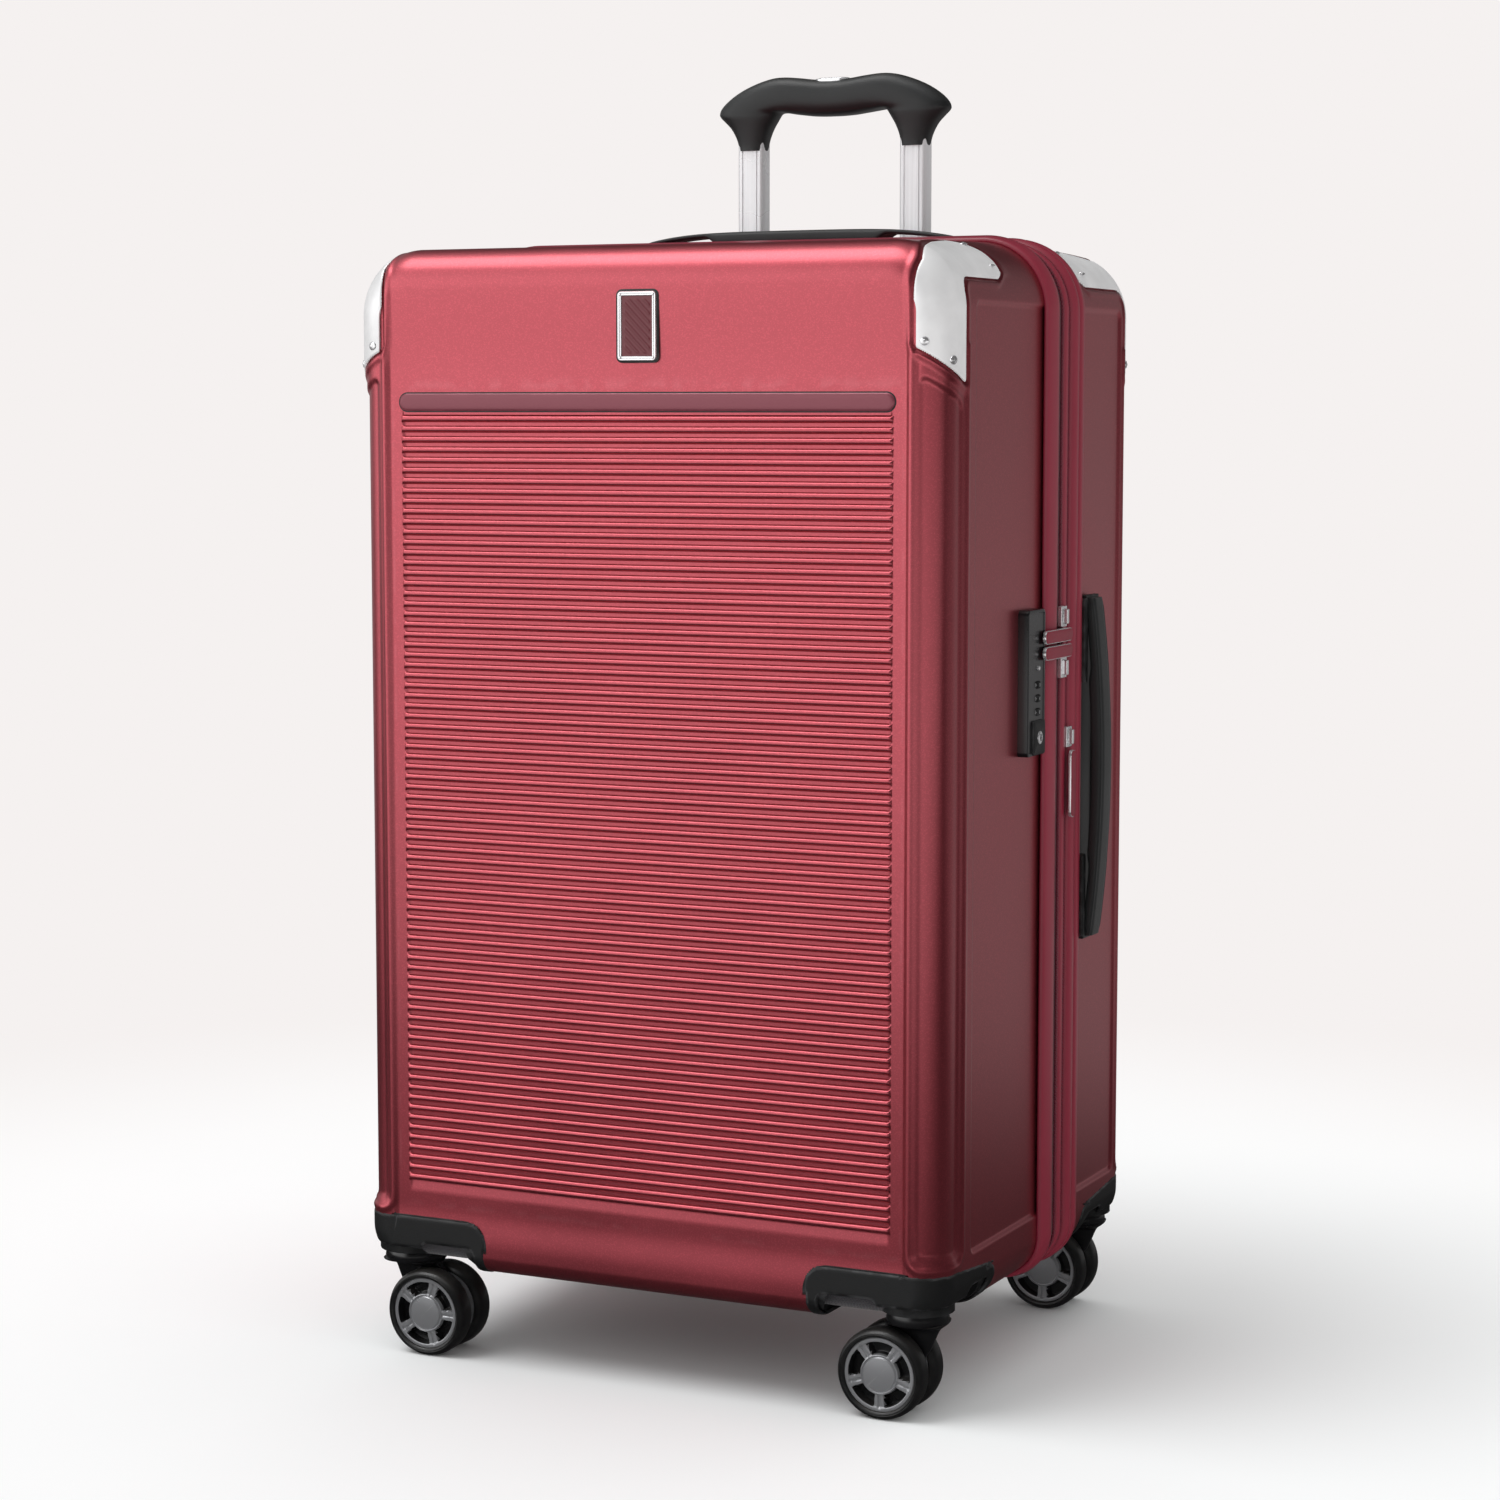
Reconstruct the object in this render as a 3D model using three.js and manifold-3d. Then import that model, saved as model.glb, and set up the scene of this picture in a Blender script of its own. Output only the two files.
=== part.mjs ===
// A hard-shell travel case on four twin-wheel casters: two moulded half shells joined by a
// main zipper and an expansion zipper, a telescopic handle, two carry handles, metal corner
// guards and a combination lock. Millimetres, +Z up, the front shell faces -Y, the floor is
// Z = 0, and X = 0, Y = 0 is the middle of the overall footprint.
import * as THREE from "three";
import { mergeVertices } from "three/addons/utils/BufferGeometryUtils.js";
import Module from "manifold-3d";

const wasm = await Module();
wasm.setup();

// ---------------------------------------------------------------- driving dimensions
const gap = 0.3; // clearance between pieces that touch

const rimHalfWidth = 216.5; // half the case's width at the shell rims
const rimTop = 759;
const rimBottom = 61;
const topCornerRadius = 46;
const bottomCornerRadius = 28;
const wall = 3; // shell thickness
const sideDraft = 0.02; // how fast the shells narrow away from their rims
const topDraft = 0.03;
const edgeDepth = 22; // rounding between the walls and the broad faces
const sideEdge = 21;
const topEdge = 27;
const bottomEdge = 14;

const front = { rimY: -2, faceY: -172.5, side: -1 };
const rear = { rimY: 58, faceY: 172.5, side: 1 };

const mainZipY = 24; // where the front half parts from the band
const expansionZipY = 36; // where the band parts from the rear half

const casterX = 189; // swivel axis
const casterY = 148;
const trail = 19; // swivel axis to wheel axle
const wheelRadius = 30;
const wheelFacets = 24;
const wheelWidth = 16.5;
const discSpacing = 25; // between the twin discs' middles
const hubHeight = wheelRadius * Math.cos(Math.PI / wheelFacets); // the wheels stand on a facet

const legX = 64; // telescopic handle
const legY = 135;
const gripBottom = 835;

const carryY = 78; // both carry handles run over the rear shell at this depth
const carryLength = 234;
const carryWidth = 23;
const sideCarryZ = 402.5;

const lockZ = 468.5;
const lockY = -26.5;

// ---------------------------------------------------------------- materials
function material(name, colour, roughness, metalness) {
  return new THREE.MeshStandardMaterial({ name, color: colour, roughness, metalness });
}
const shellRed = material("shell_red", 0x8e2635, 0.38, 0.55);
const bindingRed = material("binding_red", 0x84243a, 0.6, 0);
const tapeRed = material("zip_red", 0x6e1f30, 0.8, 0);
const trimRed = material("trim_red", 0x6d2a38, 0.3, 0.2);
const lining = material("lining_grey", 0x3c3c40, 0.9, 0);
const blackPlastic = material("black_plastic", 0x1b1c1c, 0.5, 0);
const blackRubber = material("black_rubber", 0x222323, 0.65, 0);
const tyreBlack = material("wheel", 0x262626, 0.6, 0);
const steel = material("polished_steel", 0xd8d8d8, 0.15, 1);
const aluminium = material("aluminium", 0xdcdedf, 0.25, 1);

// ---------------------------------------------------------------- solids
// A closed three.js geometry as a manifold-3d solid.
function solidOf(geometry) {
  const loose = geometry.index ? geometry.toNonIndexed() : geometry;
  const bare = new THREE.BufferGeometry().setAttribute("position", loose.getAttribute("position"));
  const merged = mergeVertices(bare, 1e-4);
  return new wasm.Manifold(
    new wasm.Mesh({
      numProp: 3,
      vertProperties: merged.attributes.position.array,
      triVerts: new Uint32Array(merged.index.array),
    }),
  );
}

function geometryOf(solid) {
  const mesh = solid.getMesh();
  return new THREE.BufferGeometry()
    .setAttribute("position", new THREE.BufferAttribute(mesh.vertProperties, 3))
    .setIndex(new THREE.BufferAttribute(mesh.triVerts, 1));
}

// A box between two corners.
function block(low, high) {
  const size = high.map((value, axis) => value - low[axis]);
  const centre = high.map((value, axis) => (value + low[axis]) / 2);
  return solidOf(new THREE.BoxGeometry(...size).translate(...centre));
}

// A round bar along X, Y or Z from start to end on that axis.
function bar(axis, radius, start, end, [x, y, z], segments = 24) {
  const geometry = new THREE.CylinderGeometry(radius, radius, end - start, segments);
  const middle = (start + end) / 2;
  if (axis === "z") geometry.rotateX(Math.PI / 2).translate(x, y, middle);
  if (axis === "x") geometry.rotateZ(Math.PI / 2).translate(middle, y, z);
  if (axis === "y") geometry.translate(x, middle, z);
  return solidOf(geometry);
}

// An outline drawn in X and Z, extruded along Y between two depths.
function prismAlongY(shape, fromY, toY) {
  const geometry = new THREE.ExtrudeGeometry(shape, {
    depth: toY - fromY,
    bevelEnabled: false,
    curveSegments: 5,
  });
  return solidOf(geometry.rotateX(Math.PI / 2).translate(0, toY, 0));
}

// An outline drawn in Y and Z, extruded along X between two places.
function prismAlongX(shape, fromX, toX) {
  const geometry = new THREE.ExtrudeGeometry(shape, {
    depth: toX - fromX,
    bevelEnabled: false,
    curveSegments: 5,
  });
  geometry.rotateX(Math.PI / 2).rotateZ(Math.PI / 2);
  return solidOf(geometry.translate(fromX, 0, 0));
}

function roundedRectangle(left, bottom, right, top, radius) {
  const shape = new THREE.Shape();
  shape.moveTo(left + radius, bottom);
  shape.lineTo(right - radius, bottom);
  shape.absarc(right - radius, bottom + radius, radius, -Math.PI / 2, 0);
  shape.lineTo(right, top - radius);
  shape.absarc(right - radius, top - radius, radius, 0, Math.PI / 2);
  shape.lineTo(left + radius, top);
  shape.absarc(left + radius, top - radius, radius, Math.PI / 2, Math.PI);
  shape.lineTo(left, bottom + radius);
  shape.absarc(left + radius, bottom + radius, radius, Math.PI, 1.5 * Math.PI);
  return shape;
}

// ---------------------------------------------------------------- lofted outlines
const cornerSteps = 5;

// The case's outline at one depth, drawn in by the given insets: a rectangle with round corners.
function outline(y, sideInset, topInset, bottomInset) {
  const halfWidth = rimHalfWidth - sideInset;
  const topRadius = topCornerRadius - (sideInset + topInset) / 2;
  const bottomRadius = bottomCornerRadius - (sideInset + bottomInset) / 2;
  const high = rimTop - topInset - topRadius;
  const low = rimBottom + bottomInset + bottomRadius;
  const corners = [
    [halfWidth - topRadius, high, topRadius, 0],
    [-halfWidth + topRadius, high, topRadius, 1],
    [-halfWidth + bottomRadius, low, bottomRadius, 2],
    [halfWidth - bottomRadius, low, bottomRadius, 3],
  ];
  return corners.flatMap(([x, z, radius, quarter]) =>
    Array.from({ length: cornerSteps + 1 }, (_, step) => {
      const angle = ((quarter + step / cornerSteps) * Math.PI) / 2;
      return [x + radius * Math.cos(angle), y, z + radius * Math.sin(angle)];
    }),
  );
}

// A closed surface through outlines of equal length: capped at both ends, or joined end to start.
function loft(outlines, loop) {
  const count = outlines[0].length;
  const points = outlines.flat(2);
  const faces = [];
  const spans = loop ? outlines.length : outlines.length - 1;
  for (let ring = 0; ring < spans; ring++) {
    const next = (ring + 1) % outlines.length;
    for (let i = 0; i < count; i++) {
      const j = (i + 1) % count;
      const [a, b, c, d] = [ring * count + i, ring * count + j, next * count + j, next * count + i];
      faces.push(a, b, c, a, c, d);
    }
  }
  if (!loop) {
    const last = (outlines.length - 1) * count;
    for (let i = 1; i < count - 1; i++) {
      faces.push(0, i + 1, i);
      faces.push(last, last + i, last + i + 1);
    }
  }
  const geometry = new THREE.BufferGeometry();
  geometry.setAttribute("position", new THREE.Float32BufferAttribute(points, 3)).setIndex(faces);
  return solidOf(geometry);
}

// A half shell's outlines from rim to broad face, grown outwards by an offset.
function halfOutlines(half, offset, startDepth = 0) {
  const depth = Math.abs(half.faceY - half.rimY) - edgeDepth;
  const rings = [];
  for (const along of [startDepth, depth]) {
    rings.push([along, sideDraft * along, topDraft * along, sideDraft * along]);
  }
  const roundingSteps = 4;
  for (let step = 1; step <= roundingSteps; step++) {
    const angle = (step / roundingSteps) * (Math.PI / 2);
    const drawn = 1 - Math.cos(angle);
    rings.push([
      depth + (edgeDepth + offset) * Math.sin(angle),
      sideDraft * depth + (sideEdge + offset) * drawn,
      topDraft * depth + (topEdge + offset) * drawn,
      sideDraft * depth + (bottomEdge + offset) * drawn,
    ]);
  }
  return rings.map(([along, sides, top, bottom]) =>
    outline(half.rimY + half.side * along, sides - offset, top - offset, bottom - offset),
  );
}

function filledHalf(half, offset, startDepth) {
  const rings = halfOutlines(half, offset, startDepth);
  return loft(half.side < 0 ? rings : rings.reverse(), false);
}

// A tray that follows a half shell: open at the rim, with its outside at one offset and its
// inside at a deeper one.
function tray(half, outside, inside, startDepth = 0) {
  const outer = halfOutlines(half, outside, startDepth);
  const inner = halfOutlines(half, inside, startDepth).reverse();
  const rings = [...inner, ...outer];
  return loft(half.side < 0 ? rings : rings.reverse(), false);
}

// A ring that runs round the case, with a section given as [depth, distance outside the rim]
// points that run towards +Y on the outside and back on the inside.
function ring(section) {
  const outlines = section.map(([y, out]) => outline(y, -out, -out, -out));
  return loft(outlines.reverse(), true);
}

// The skin between two offsets of a half shell, kept inside a region.
function skinPatch(half, outside, inside, region) {
  return filledHalf(half, outside).subtract(filledHalf(half, inside)).intersect(region);
}

function mirrored(solid, x, y) {
  return solid.scale([x, y, 1]);
}

// ---------------------------------------------------------------- regions on the shells
const farOut = 240; // past the case on every side
const housingTop = 99;
const housingInnerX = 118;
const housingInnerY = 92;

// The block at a bottom corner that a caster housing fills, at +X and -Y.
function housingBlock(grown) {
  const fromFront = roundedRectangle(
    housingInnerX - grown, 20, farOut, housingTop + grown, 18 + grown);
  const fromSide = roundedRectangle(
    -farOut, 20, -housingInnerY + grown, housingTop + grown, 14 + grown);
  return prismAlongY(fromFront, -farOut, 0).intersect(prismAlongX(fromSide, 0, farOut));
}

// The bent plate outline of a corner guard, at +X and -Y: an arm down the upright corner,
// cut off on a slant, and a fin that runs back along the top edge.
function guardRegion(grown) {
  const armLeft = 192 - grown;
  const armBack = -137 + grown;
  const finBottom = 731 - grown;
  const fromFront = new THREE.Shape();
  fromFront.moveTo(armLeft, 600);
  fromFront.lineTo(armLeft, 731);
  fromFront.quadraticCurveTo(armLeft + 2, 750, armLeft + 17, 757);
  fromFront.lineTo(armLeft + 17, 800);
  fromFront.lineTo(farOut, 800);
  fromFront.lineTo(farOut, 600);
  const fromSide = new THREE.Shape();
  fromSide.moveTo(-farOut, 600);
  fromSide.lineTo(armBack, 600);
  fromSide.lineTo(armBack, finBottom - 12);
  fromSide.quadraticCurveTo(armBack, finBottom, armBack + 12, finBottom);
  fromSide.lineTo(-94 + grown, finBottom);
  fromSide.quadraticCurveTo(-108 + grown, 752 + grown, -146 + grown, 763 + grown);
  fromSide.lineTo(-farOut, 763 + grown);
  const slant = Math.atan(0.353 * Math.SQRT2);
  const below = new THREE.BoxGeometry(300, 300, 200);
  below.translate(0, 0, -100 - grown);
  below.rotateX(-slant).rotateZ(Math.PI / 4);
  below.translate(192, front.faceY, 689);
  return prismAlongY(fromFront, -farOut, 0)
    .intersect(prismAlongX(fromSide, 0, farOut))
    .subtract(solidOf(below));
}

// The long shallow channel down each upright corner, under the guard.
function channelRegion() {
  const fromFront = roundedRectangle(193.5, 103, farOut, 652, 9);
  const fromSide = roundedRectangle(-farOut, 103, -139, 652, 9);
  return prismAlongY(fromFront, -farOut, 0).intersect(prismAlongX(fromSide, 0, farOut));
}

// The shallow tray for the ribs and the bar on the front face.
const fieldHalfWidth = 181;
const fieldBottom = 116;
const fieldTop = 659.3;
const fieldDepth = 1.2;

const badgeHalfWidth = 14;
const badgeBottom = 679.5;
const badgeTop = 724;

// The bowl under a caster housing that clears the turning wheels.
const bowlTop = 86;
function casterBowl() {
  const profile = [
    [0, 0], [1, 0], [1, bowlTop - 8], [0.94, bowlTop - 2], [0.8, bowlTop], [0, bowlTop],
  ];
  const geometry = new THREE.LatheGeometry(profile.map(([r, z]) => new THREE.Vector2(r, z)), 28);
  geometry.rotateX(Math.PI / 2).scale(63, 50, 1).translate(casterX, -casterY, 0);
  return solidOf(geometry);
}

// ---------------------------------------------------------------- shells and linings
// The four corners as [name, mirror in X, mirror in Y].
const corners = [
  ["front_left", -1, 1],
  ["front_right", 1, 1],
  ["rear_left", -1, -1],
  ["rear_right", 1, -1],
];
// Corner pieces are drawn at +X and -Y on a front shell as deep as the rear one for the rear.
const rearAsFront = { rimY: -rear.rimY, faceY: -rear.faceY, side: -1 };

// What is cut from a half shell at its corners: caster blocks, guard seats and channels.
function cutCorners(shell, half, mirrorY) {
  const cuts = [
    housingBlock(gap),
    skinPatch(half, 1, -1.5, guardRegion(gap)),
    skinPatch(half, 1, -1.4, channelRegion()),
  ];
  for (const cut of cuts) {
    for (const mirrorX of [-1, 1]) shell = shell.subtract(mirrored(cut, mirrorX, mirrorY));
  }
  return shell;
}

const lockOpening = { low: [195, lockY - 16, lockZ - 45], high: [farOut, lockY + 16, lockZ + 45] };

function frontShell() {
  const face = front.faceY;
  const field = block([-fieldHalfWidth, face - 1, fieldBottom],
    [fieldHalfWidth, face + fieldDepth, fieldTop]);
  const badgeSeat = block([-badgeHalfWidth, face - 1, badgeBottom],
    [badgeHalfWidth, face + 1.8, badgeTop]);
  return cutCorners(tray(front, 0, -wall), front, 1)
    .subtract(field)
    .subtract(badgeSeat)
    .subtract(block(lockOpening.low, lockOpening.high));
}

const cup = { halfWidth: 99, frontY: legY - 20, backY: legY + 20, floor: 706 };

function rearShell() {
  const cupOpening = block([-cup.halfWidth - gap, cup.frontY - gap, 720],
    [cup.halfWidth + gap, cup.backY + gap, 800]);
  return cutCorners(tray(rear, 0, -wall), rearAsFront, -1).subtract(cupOpening);
}

// A fabric tray inside a shell, cut round the caster blocks and the lock.
function liningTray(half, mirrorY) {
  let solid = tray(half, -wall - 0.8, -wall - 2.2, 4);
  for (const mirrorX of [-1, 1]) {
    solid = solid.subtract(mirrored(housingBlock(1.5), mirrorX, mirrorY));
  }
  return solid;
}

const rearLiningHalf = { rimY: rear.rimY, faceY: 116, side: 1 };

function frontLining() {
  const { low, high } = lockOpening;
  return liningTray(front, 1).subtract(block([low[0] - 1, low[1] - 1, low[2] - 1], high));
}

// ---------------------------------------------------------------- zipper zone
// The roll over the front shell's rim, with its half of the main zipper's tape.
function frontBinding() {
  return ring([
    [-7, gap], [-7, 2.6], [-1, 4.1], [7, 4.5], [13, 3.4], [15.5, 1],
    [mainZipY - 0.4, 1], [mainZipY - 0.4, -1], [12, -1.4], [12, -wall], [front.rimY + gap, -wall],
    [front.rimY + gap, gap],
  ]);
}

function expansionBand() {
  const low = mainZipY + 0.4;
  const high = expansionZipY - 0.4;
  return ring([[low, 1], [high, 1], [high, -1], [low, -1]]);
}

function rearBinding() {
  const seat = rear.rimY - gap;
  return ring([
    [expansionZipY + 0.4, 1], [42, 1], [44.5, 3.4], [49, 4.5], [56, 4.1], [62, 2.6], [62, gap],
    [seat, gap], [seat, -wall], [44, -wall], [44, -1.4], [expansionZipY + 0.4, -1],
  ]);
}

// The expansion gusset, folded away inside the rear roll.
function gusset() {
  return ring([[34, -2.2], [43, -2.2], [43, -10], [34, -10]]);
}

function hingeStrip() {
  const out = -rimHalfWidth;
  return block([out - 4.2, mainZipY + 1, 130], [out - 1.3, expansionZipY - 1, 640]);
}

// ---------------------------------------------------------------- casters
// A housing at +X and -Y, cut from the shell's own form, with a boss for the swivel pin.
function casterHousing(half) {
  const place = [casterX, -casterY, 0];
  return filledHalf(half, 0)
    .intersect(housingBlock(0))
    .subtract(casterBowl())
    .add(bar("z", 24, 71, 93, place))
    .subtract(bar("z", 5.3, 60, 91, place, 12));
}

// The turning fork at +X: turntable, swivel pin, the web between the discs and the axle.
function casterFork() {
  const axleX = casterX - trail;
  const web = new THREE.Shape();
  web.moveTo(casterX + 20, 65);
  web.quadraticCurveTo(casterX + 14, 50, casterX + 2, 38);
  web.lineTo(axleX + 8, hubHeight - 7);
  web.absarc(axleX, hubHeight, 10, -Math.PI / 4, -Math.PI, true);
  web.quadraticCurveTo(axleX - 10, 50, casterX - 20, 65);
  const turntable = new THREE.CylinderGeometry(23.5, 21, 7.2, 24);
  turntable.rotateX(Math.PI / 2).translate(casterX, -casterY, 67.1);
  const place = [casterX, -casterY, 0];
  const halfSpan = discSpacing / 2 + 2.5;
  return solidOf(turntable)
    .add(bar("z", 5, 66, 90.7, place, 12))
    .add(prismAlongY(web, -casterY - 3.8, -casterY + 3.8))
    .add(bar("y", 3, -casterY - halfSpan, -casterY + halfSpan, [axleX, 0, hubHeight], 16));
}

// One disc of a twin wheel, its capped face towards -Y: rim, tyre and a blind axle bore.
function wheelDisc() {
  const half = wheelWidth / 2;
  const profile = [
    [0, half], [9, half], [12, half - 1.8], [21.5, half - 1.8], [24.5, half - 0.4], [27.5, half],
    [wheelRadius, half - 2.5], [wheelRadius, -half + 2.5], [27.5, -half], [9, -half],
    [3.3, -half], [3.3, half - 3], [0, half - 3],
  ];
  const geometry = new THREE.LatheGeometry(
    profile.map(([r, y]) => new THREE.Vector2(r, -y)),
    wheelFacets,
    Math.PI / wheelFacets,
  );
  return solidOf(geometry);
}

// ---------------------------------------------------------------- handles
const tube = { halfX: 12, halfY: 9, wall: 1.4 };
const leg = { halfX: 10, halfY: 7 };

function outerTube() {
  const bottom = rimBottom + wall + 4.5;
  const top = cup.floor - gap;
  const hole = [leg.halfX + gap, leg.halfY + gap];
  return block([-tube.halfX, legY - tube.halfY, bottom], [tube.halfX, legY + tube.halfY, top])
    .subtract(block([-hole[0], legY - hole[1], bottom + 4], [hole[0], legY + hole[1], top + 1]));
}

// A leg with its two lock holes on the outer side.
function telescopicLeg() {
  const shape = roundedRectangle(-leg.halfX, -leg.halfY, leg.halfX, leg.halfY, 3);
  const geometry = new THREE.ExtrudeGeometry(shape, {
    depth: 550,
    bevelEnabled: false,
    curveSegments: 3,
  });
  let solid = solidOf(geometry.translate(0, legY, 300));
  for (const z of [815, 823]) solid = solid.subtract(bar("x", 1.8, 8.6, 12, [0, legY, z], 12));
  return solid;
}

// The cup that the grip sinks into, let into the top of the rear shell.
function handleCup() {
  const { halfWidth, frontY, backY, floor } = cup;
  const rimHeight = 761.5;
  const legHole = [leg.halfX + gap, leg.halfY + gap];
  let solid = block([-halfWidth, frontY, floor], [halfWidth, backY, rimHeight])
    .add(block([-halfWidth - 5, frontY - 5, 759.4], [halfWidth + 5, backY + 5, rimHeight]))
    .subtract(block([-halfWidth + 3, frontY + 3, floor + 2.5], [halfWidth - 3, backY - 3, 800]));
  for (const x of [-legX, legX]) {
    solid = solid.subtract(block([x - legHole[0], legY - legHole[1], floor - 1],
      [x + legHole[0], legY + legHole[1], floor + 5]));
  }
  return solid;
}

// The arched grip in front view: two flared collars under a crown with a dip in the middle.
function gripOutline() {
  const shape = new THREE.Shape();
  shape.moveTo(-52, gripBottom);
  shape.quadraticCurveTo(-51, 852, -41, 862.5);
  shape.quadraticCurveTo(0, 857.5, 41, 862.5);
  shape.quadraticCurveTo(51, 852, 52, gripBottom);
  shape.lineTo(76, gripBottom);
  shape.quadraticCurveTo(78, 849, 90, 857);
  shape.quadraticCurveTo(91, 873, 62, 884);
  shape.quadraticCurveTo(40, 890, 22, 886);
  shape.quadraticCurveTo(0, 883, -22, 886);
  shape.quadraticCurveTo(-40, 890, -62, 884);
  shape.quadraticCurveTo(-91, 873, -90, 857);
  shape.quadraticCurveTo(-78, 849, -76, gripBottom);
  return shape;
}

function handleGrip() {
  let solid = prismAlongY(gripOutline(), legY - 13, legY + 13);
  for (const x of [-legX, legX]) {
    solid = solid.subtract(block([x - leg.halfX - gap, legY - leg.halfY - gap, gripBottom - 1],
      [x + leg.halfX + gap, legY + leg.halfY + gap, 850.5]));
  }
  return solid.subtract(block([-13, legY - 6.5, 876], [13, legY + 6.5, 900]));
}

// A carry handle drawn lengthways in X with its height in Z: flat beneath and bowed on top.
function carryHandle() {
  const end = carryLength / 2;
  const shape = new THREE.Shape();
  shape.moveTo(-end, 5.5);
  shape.lineTo(end, 5.5);
  shape.lineTo(end, 8);
  shape.quadraticCurveTo(0, 17, -end, 8);
  return prismAlongY(shape, -carryWidth / 2, carryWidth / 2);
}

// The foot under one end of a carry handle, at +X.
function carryFoot() {
  const end = carryLength / 2;
  return block([end - 11, -carryWidth / 2 - 1, 0.9], [end + 2, carryWidth / 2 + 1, 5.2]);
}

// ---------------------------------------------------------------- lock, zipper pulls, trim
const lockFace = rimHalfWidth + 5.5; // outer face of the lock plate
const dialX = lockFace - 6.2;
const dialZs = [449, 458, 467];
const keyZ = 432;
const resetZ = 478;

function lockBody() {
  const shape = roundedRectangle(lockY - 19.5, lockZ - 48.5, lockY + 19.5, lockZ + 48.5, 8);
  let solid = prismAlongX(shape, rimHalfWidth + gap, lockFace)
    .add(block([200, lockY - 15.5, lockZ - 44.5], [rimHalfWidth + 1, lockY + 15.5, lockZ + 44.5]))
    .subtract(bar("x", 4.8, 207, farOut, [0, lockY, keyZ]))
    .subtract(bar("x", 2.1, 213, farOut, [0, lockY, resetZ], 12));
  for (const z of dialZs) {
    solid = solid.subtract(bar("z", 7.4, z - 2.9, z + 2.9, [dialX, lockY, 0], 20));
  }
  return solid;
}

// A slider body on a zipper, with a low bridge for its pull.
function zipSlider(y, z) {
  const base = rimHalfWidth + 1 + gap;
  return block([base, y - 5, z - 7], [base + 3.4, y + 5, z + 7])
    .add(block([base + 3, y - 1.8, z - 5], [base + 6.2, y + 1.8, z + 5]));
}

// A pull that lies flat over the lock, pointing to the front.
function lockPull(z) {
  const shape = roundedRectangle(lockY + 4.5, z - 4.5, mainZipY + 5, z + 4.5, 1.2);
  return prismAlongX(shape, lockFace + 1.2, lockFace + 3.4);
}

// The expansion zipper's pull hangs down its own track.
const hangingPullTop = 418;
function hangingPull() {
  const y = expansionZipY;
  const shape = roundedRectangle(y - 4.5, hangingPullTop - 46, y + 4.5, hangingPullTop, 1.5);
  return prismAlongX(shape, lockFace + 0.3, lockFace + 2.3);
}

function badge() {
  const face = front.faceY;
  return block([-badgeHalfWidth + 1.2, face + 0.2, badgeBottom + 1.2],
    [badgeHalfWidth - 1.2, face + 1.5, badgeTop - 1.2]);
}

function trimBar() {
  const face = front.faceY;
  const shape = roundedRectangle(-180, 647.2, 180, 658.7, 5);
  return prismAlongY(shape, face + 0.1, face + fieldDepth - 0.2);
}

// ---------------------------------------------------------------- assembly
const suitcase = new THREE.Group();

function place(name, solid, finish, group = suitcase) {
  const mesh = new THREE.Mesh(geometryOf(solid), finish);
  mesh.name = name;
  group.add(mesh);
  return mesh;
}

place("front_shell", frontShell(), shellRed);
place("rear_shell", rearShell(), shellRed);
place("front_lining", frontLining(), lining);
place("rear_lining", liningTray(rearLiningHalf, -1), lining);
place("front_zip_binding", frontBinding(), bindingRed);
place("expansion_band", expansionBand(), tapeRed);
place("rear_zip_binding", rearBinding(), bindingRed);
place("expansion_gusset", gusset(), tapeRed);
place("hinge_strip", hingeStrip(), bindingRed);
place("trim_bar", trimBar(), trimRed);
place("badge", badge(), steel);

for (const [name, x, y] of corners) {
  const half = y > 0 ? front : rearAsFront;
  place(`corner_guard_${name}`, mirrored(skinPatch(half, 0, -1.2, guardRegion(0)), x, y), steel);
  place(`caster_housing_${name}`, mirrored(casterHousing(half), x, y), blackPlastic);
  place(`caster_fork_${name}`, mirrored(casterFork(), x, y), blackPlastic);
  for (const [disc, side] of [["front", -1], ["rear", 1]]) {
    const wheel = place(`wheel_${name}_${disc}_disc`, wheelDisc(), tyreBlack);
    wheel.position.set(
      x * (casterX - trail), -y * casterY + (side * discSpacing) / 2, hubHeight);
    if (side > 0) wheel.rotation.z = Math.PI;
  }
}

for (const [name, x] of [["left", -legX], ["right", legX]]) {
  place(`handle_tube_${name}`, outerTube(), aluminium).position.x = x;
  const slidingLeg = place(`handle_leg_${name}`, telescopicLeg(), aluminium);
  slidingLeg.position.x = x;
  if (x < 0) slidingLeg.scale.x = -1;
}
place("handle_cup", handleCup(), blackPlastic);
place("handle_grip", handleGrip(), blackRubber);
place("handle_button", block([-12.6, legY - 6.1, 880.5], [12.6, legY + 6.1, 885]), aluminium);

// The top carry handle lies along X; the side one stands along Z with its height in +X.
const topCarry = new THREE.Group();
topCarry.position.set(0, carryY, rimTop);
const sideCarry = new THREE.Group();
sideCarry.position.set(rimHalfWidth, carryY, sideCarryZ);
sideCarry.rotation.y = Math.PI / 2;
suitcase.add(topCarry, sideCarry);
for (const [name, group, ends] of [
  ["top", topCarry, ["left", "right"]],
  ["side", sideCarry, ["upper", "lower"]],
]) {
  place(`${name}_handle`, carryHandle(), blackRubber, group);
  place(`${name}_handle_foot_${ends[0]}`, mirrored(carryFoot(), -1, 1), blackPlastic, group);
  place(`${name}_handle_foot_${ends[1]}`, carryFoot(), blackPlastic, group);
}

place("lock_body", lockBody(), blackPlastic);
dialZs.forEach((z, i) => {
  const dial = bar("z", 7, z - 2.5, z + 2.5, [dialX, lockY, 0], 20);
  place(`lock_dial_${i + 1}`, dial, blackPlastic);
});
place("lock_key_cylinder", bar("x", 4.5, 208, lockFace + 0.6, [0, lockY, keyZ], 20), steel);
place("lock_reset_button", bar("x", 1.8, 215.5, lockFace + 0.5, [0, lockY, resetZ], 12), steel);

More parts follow.
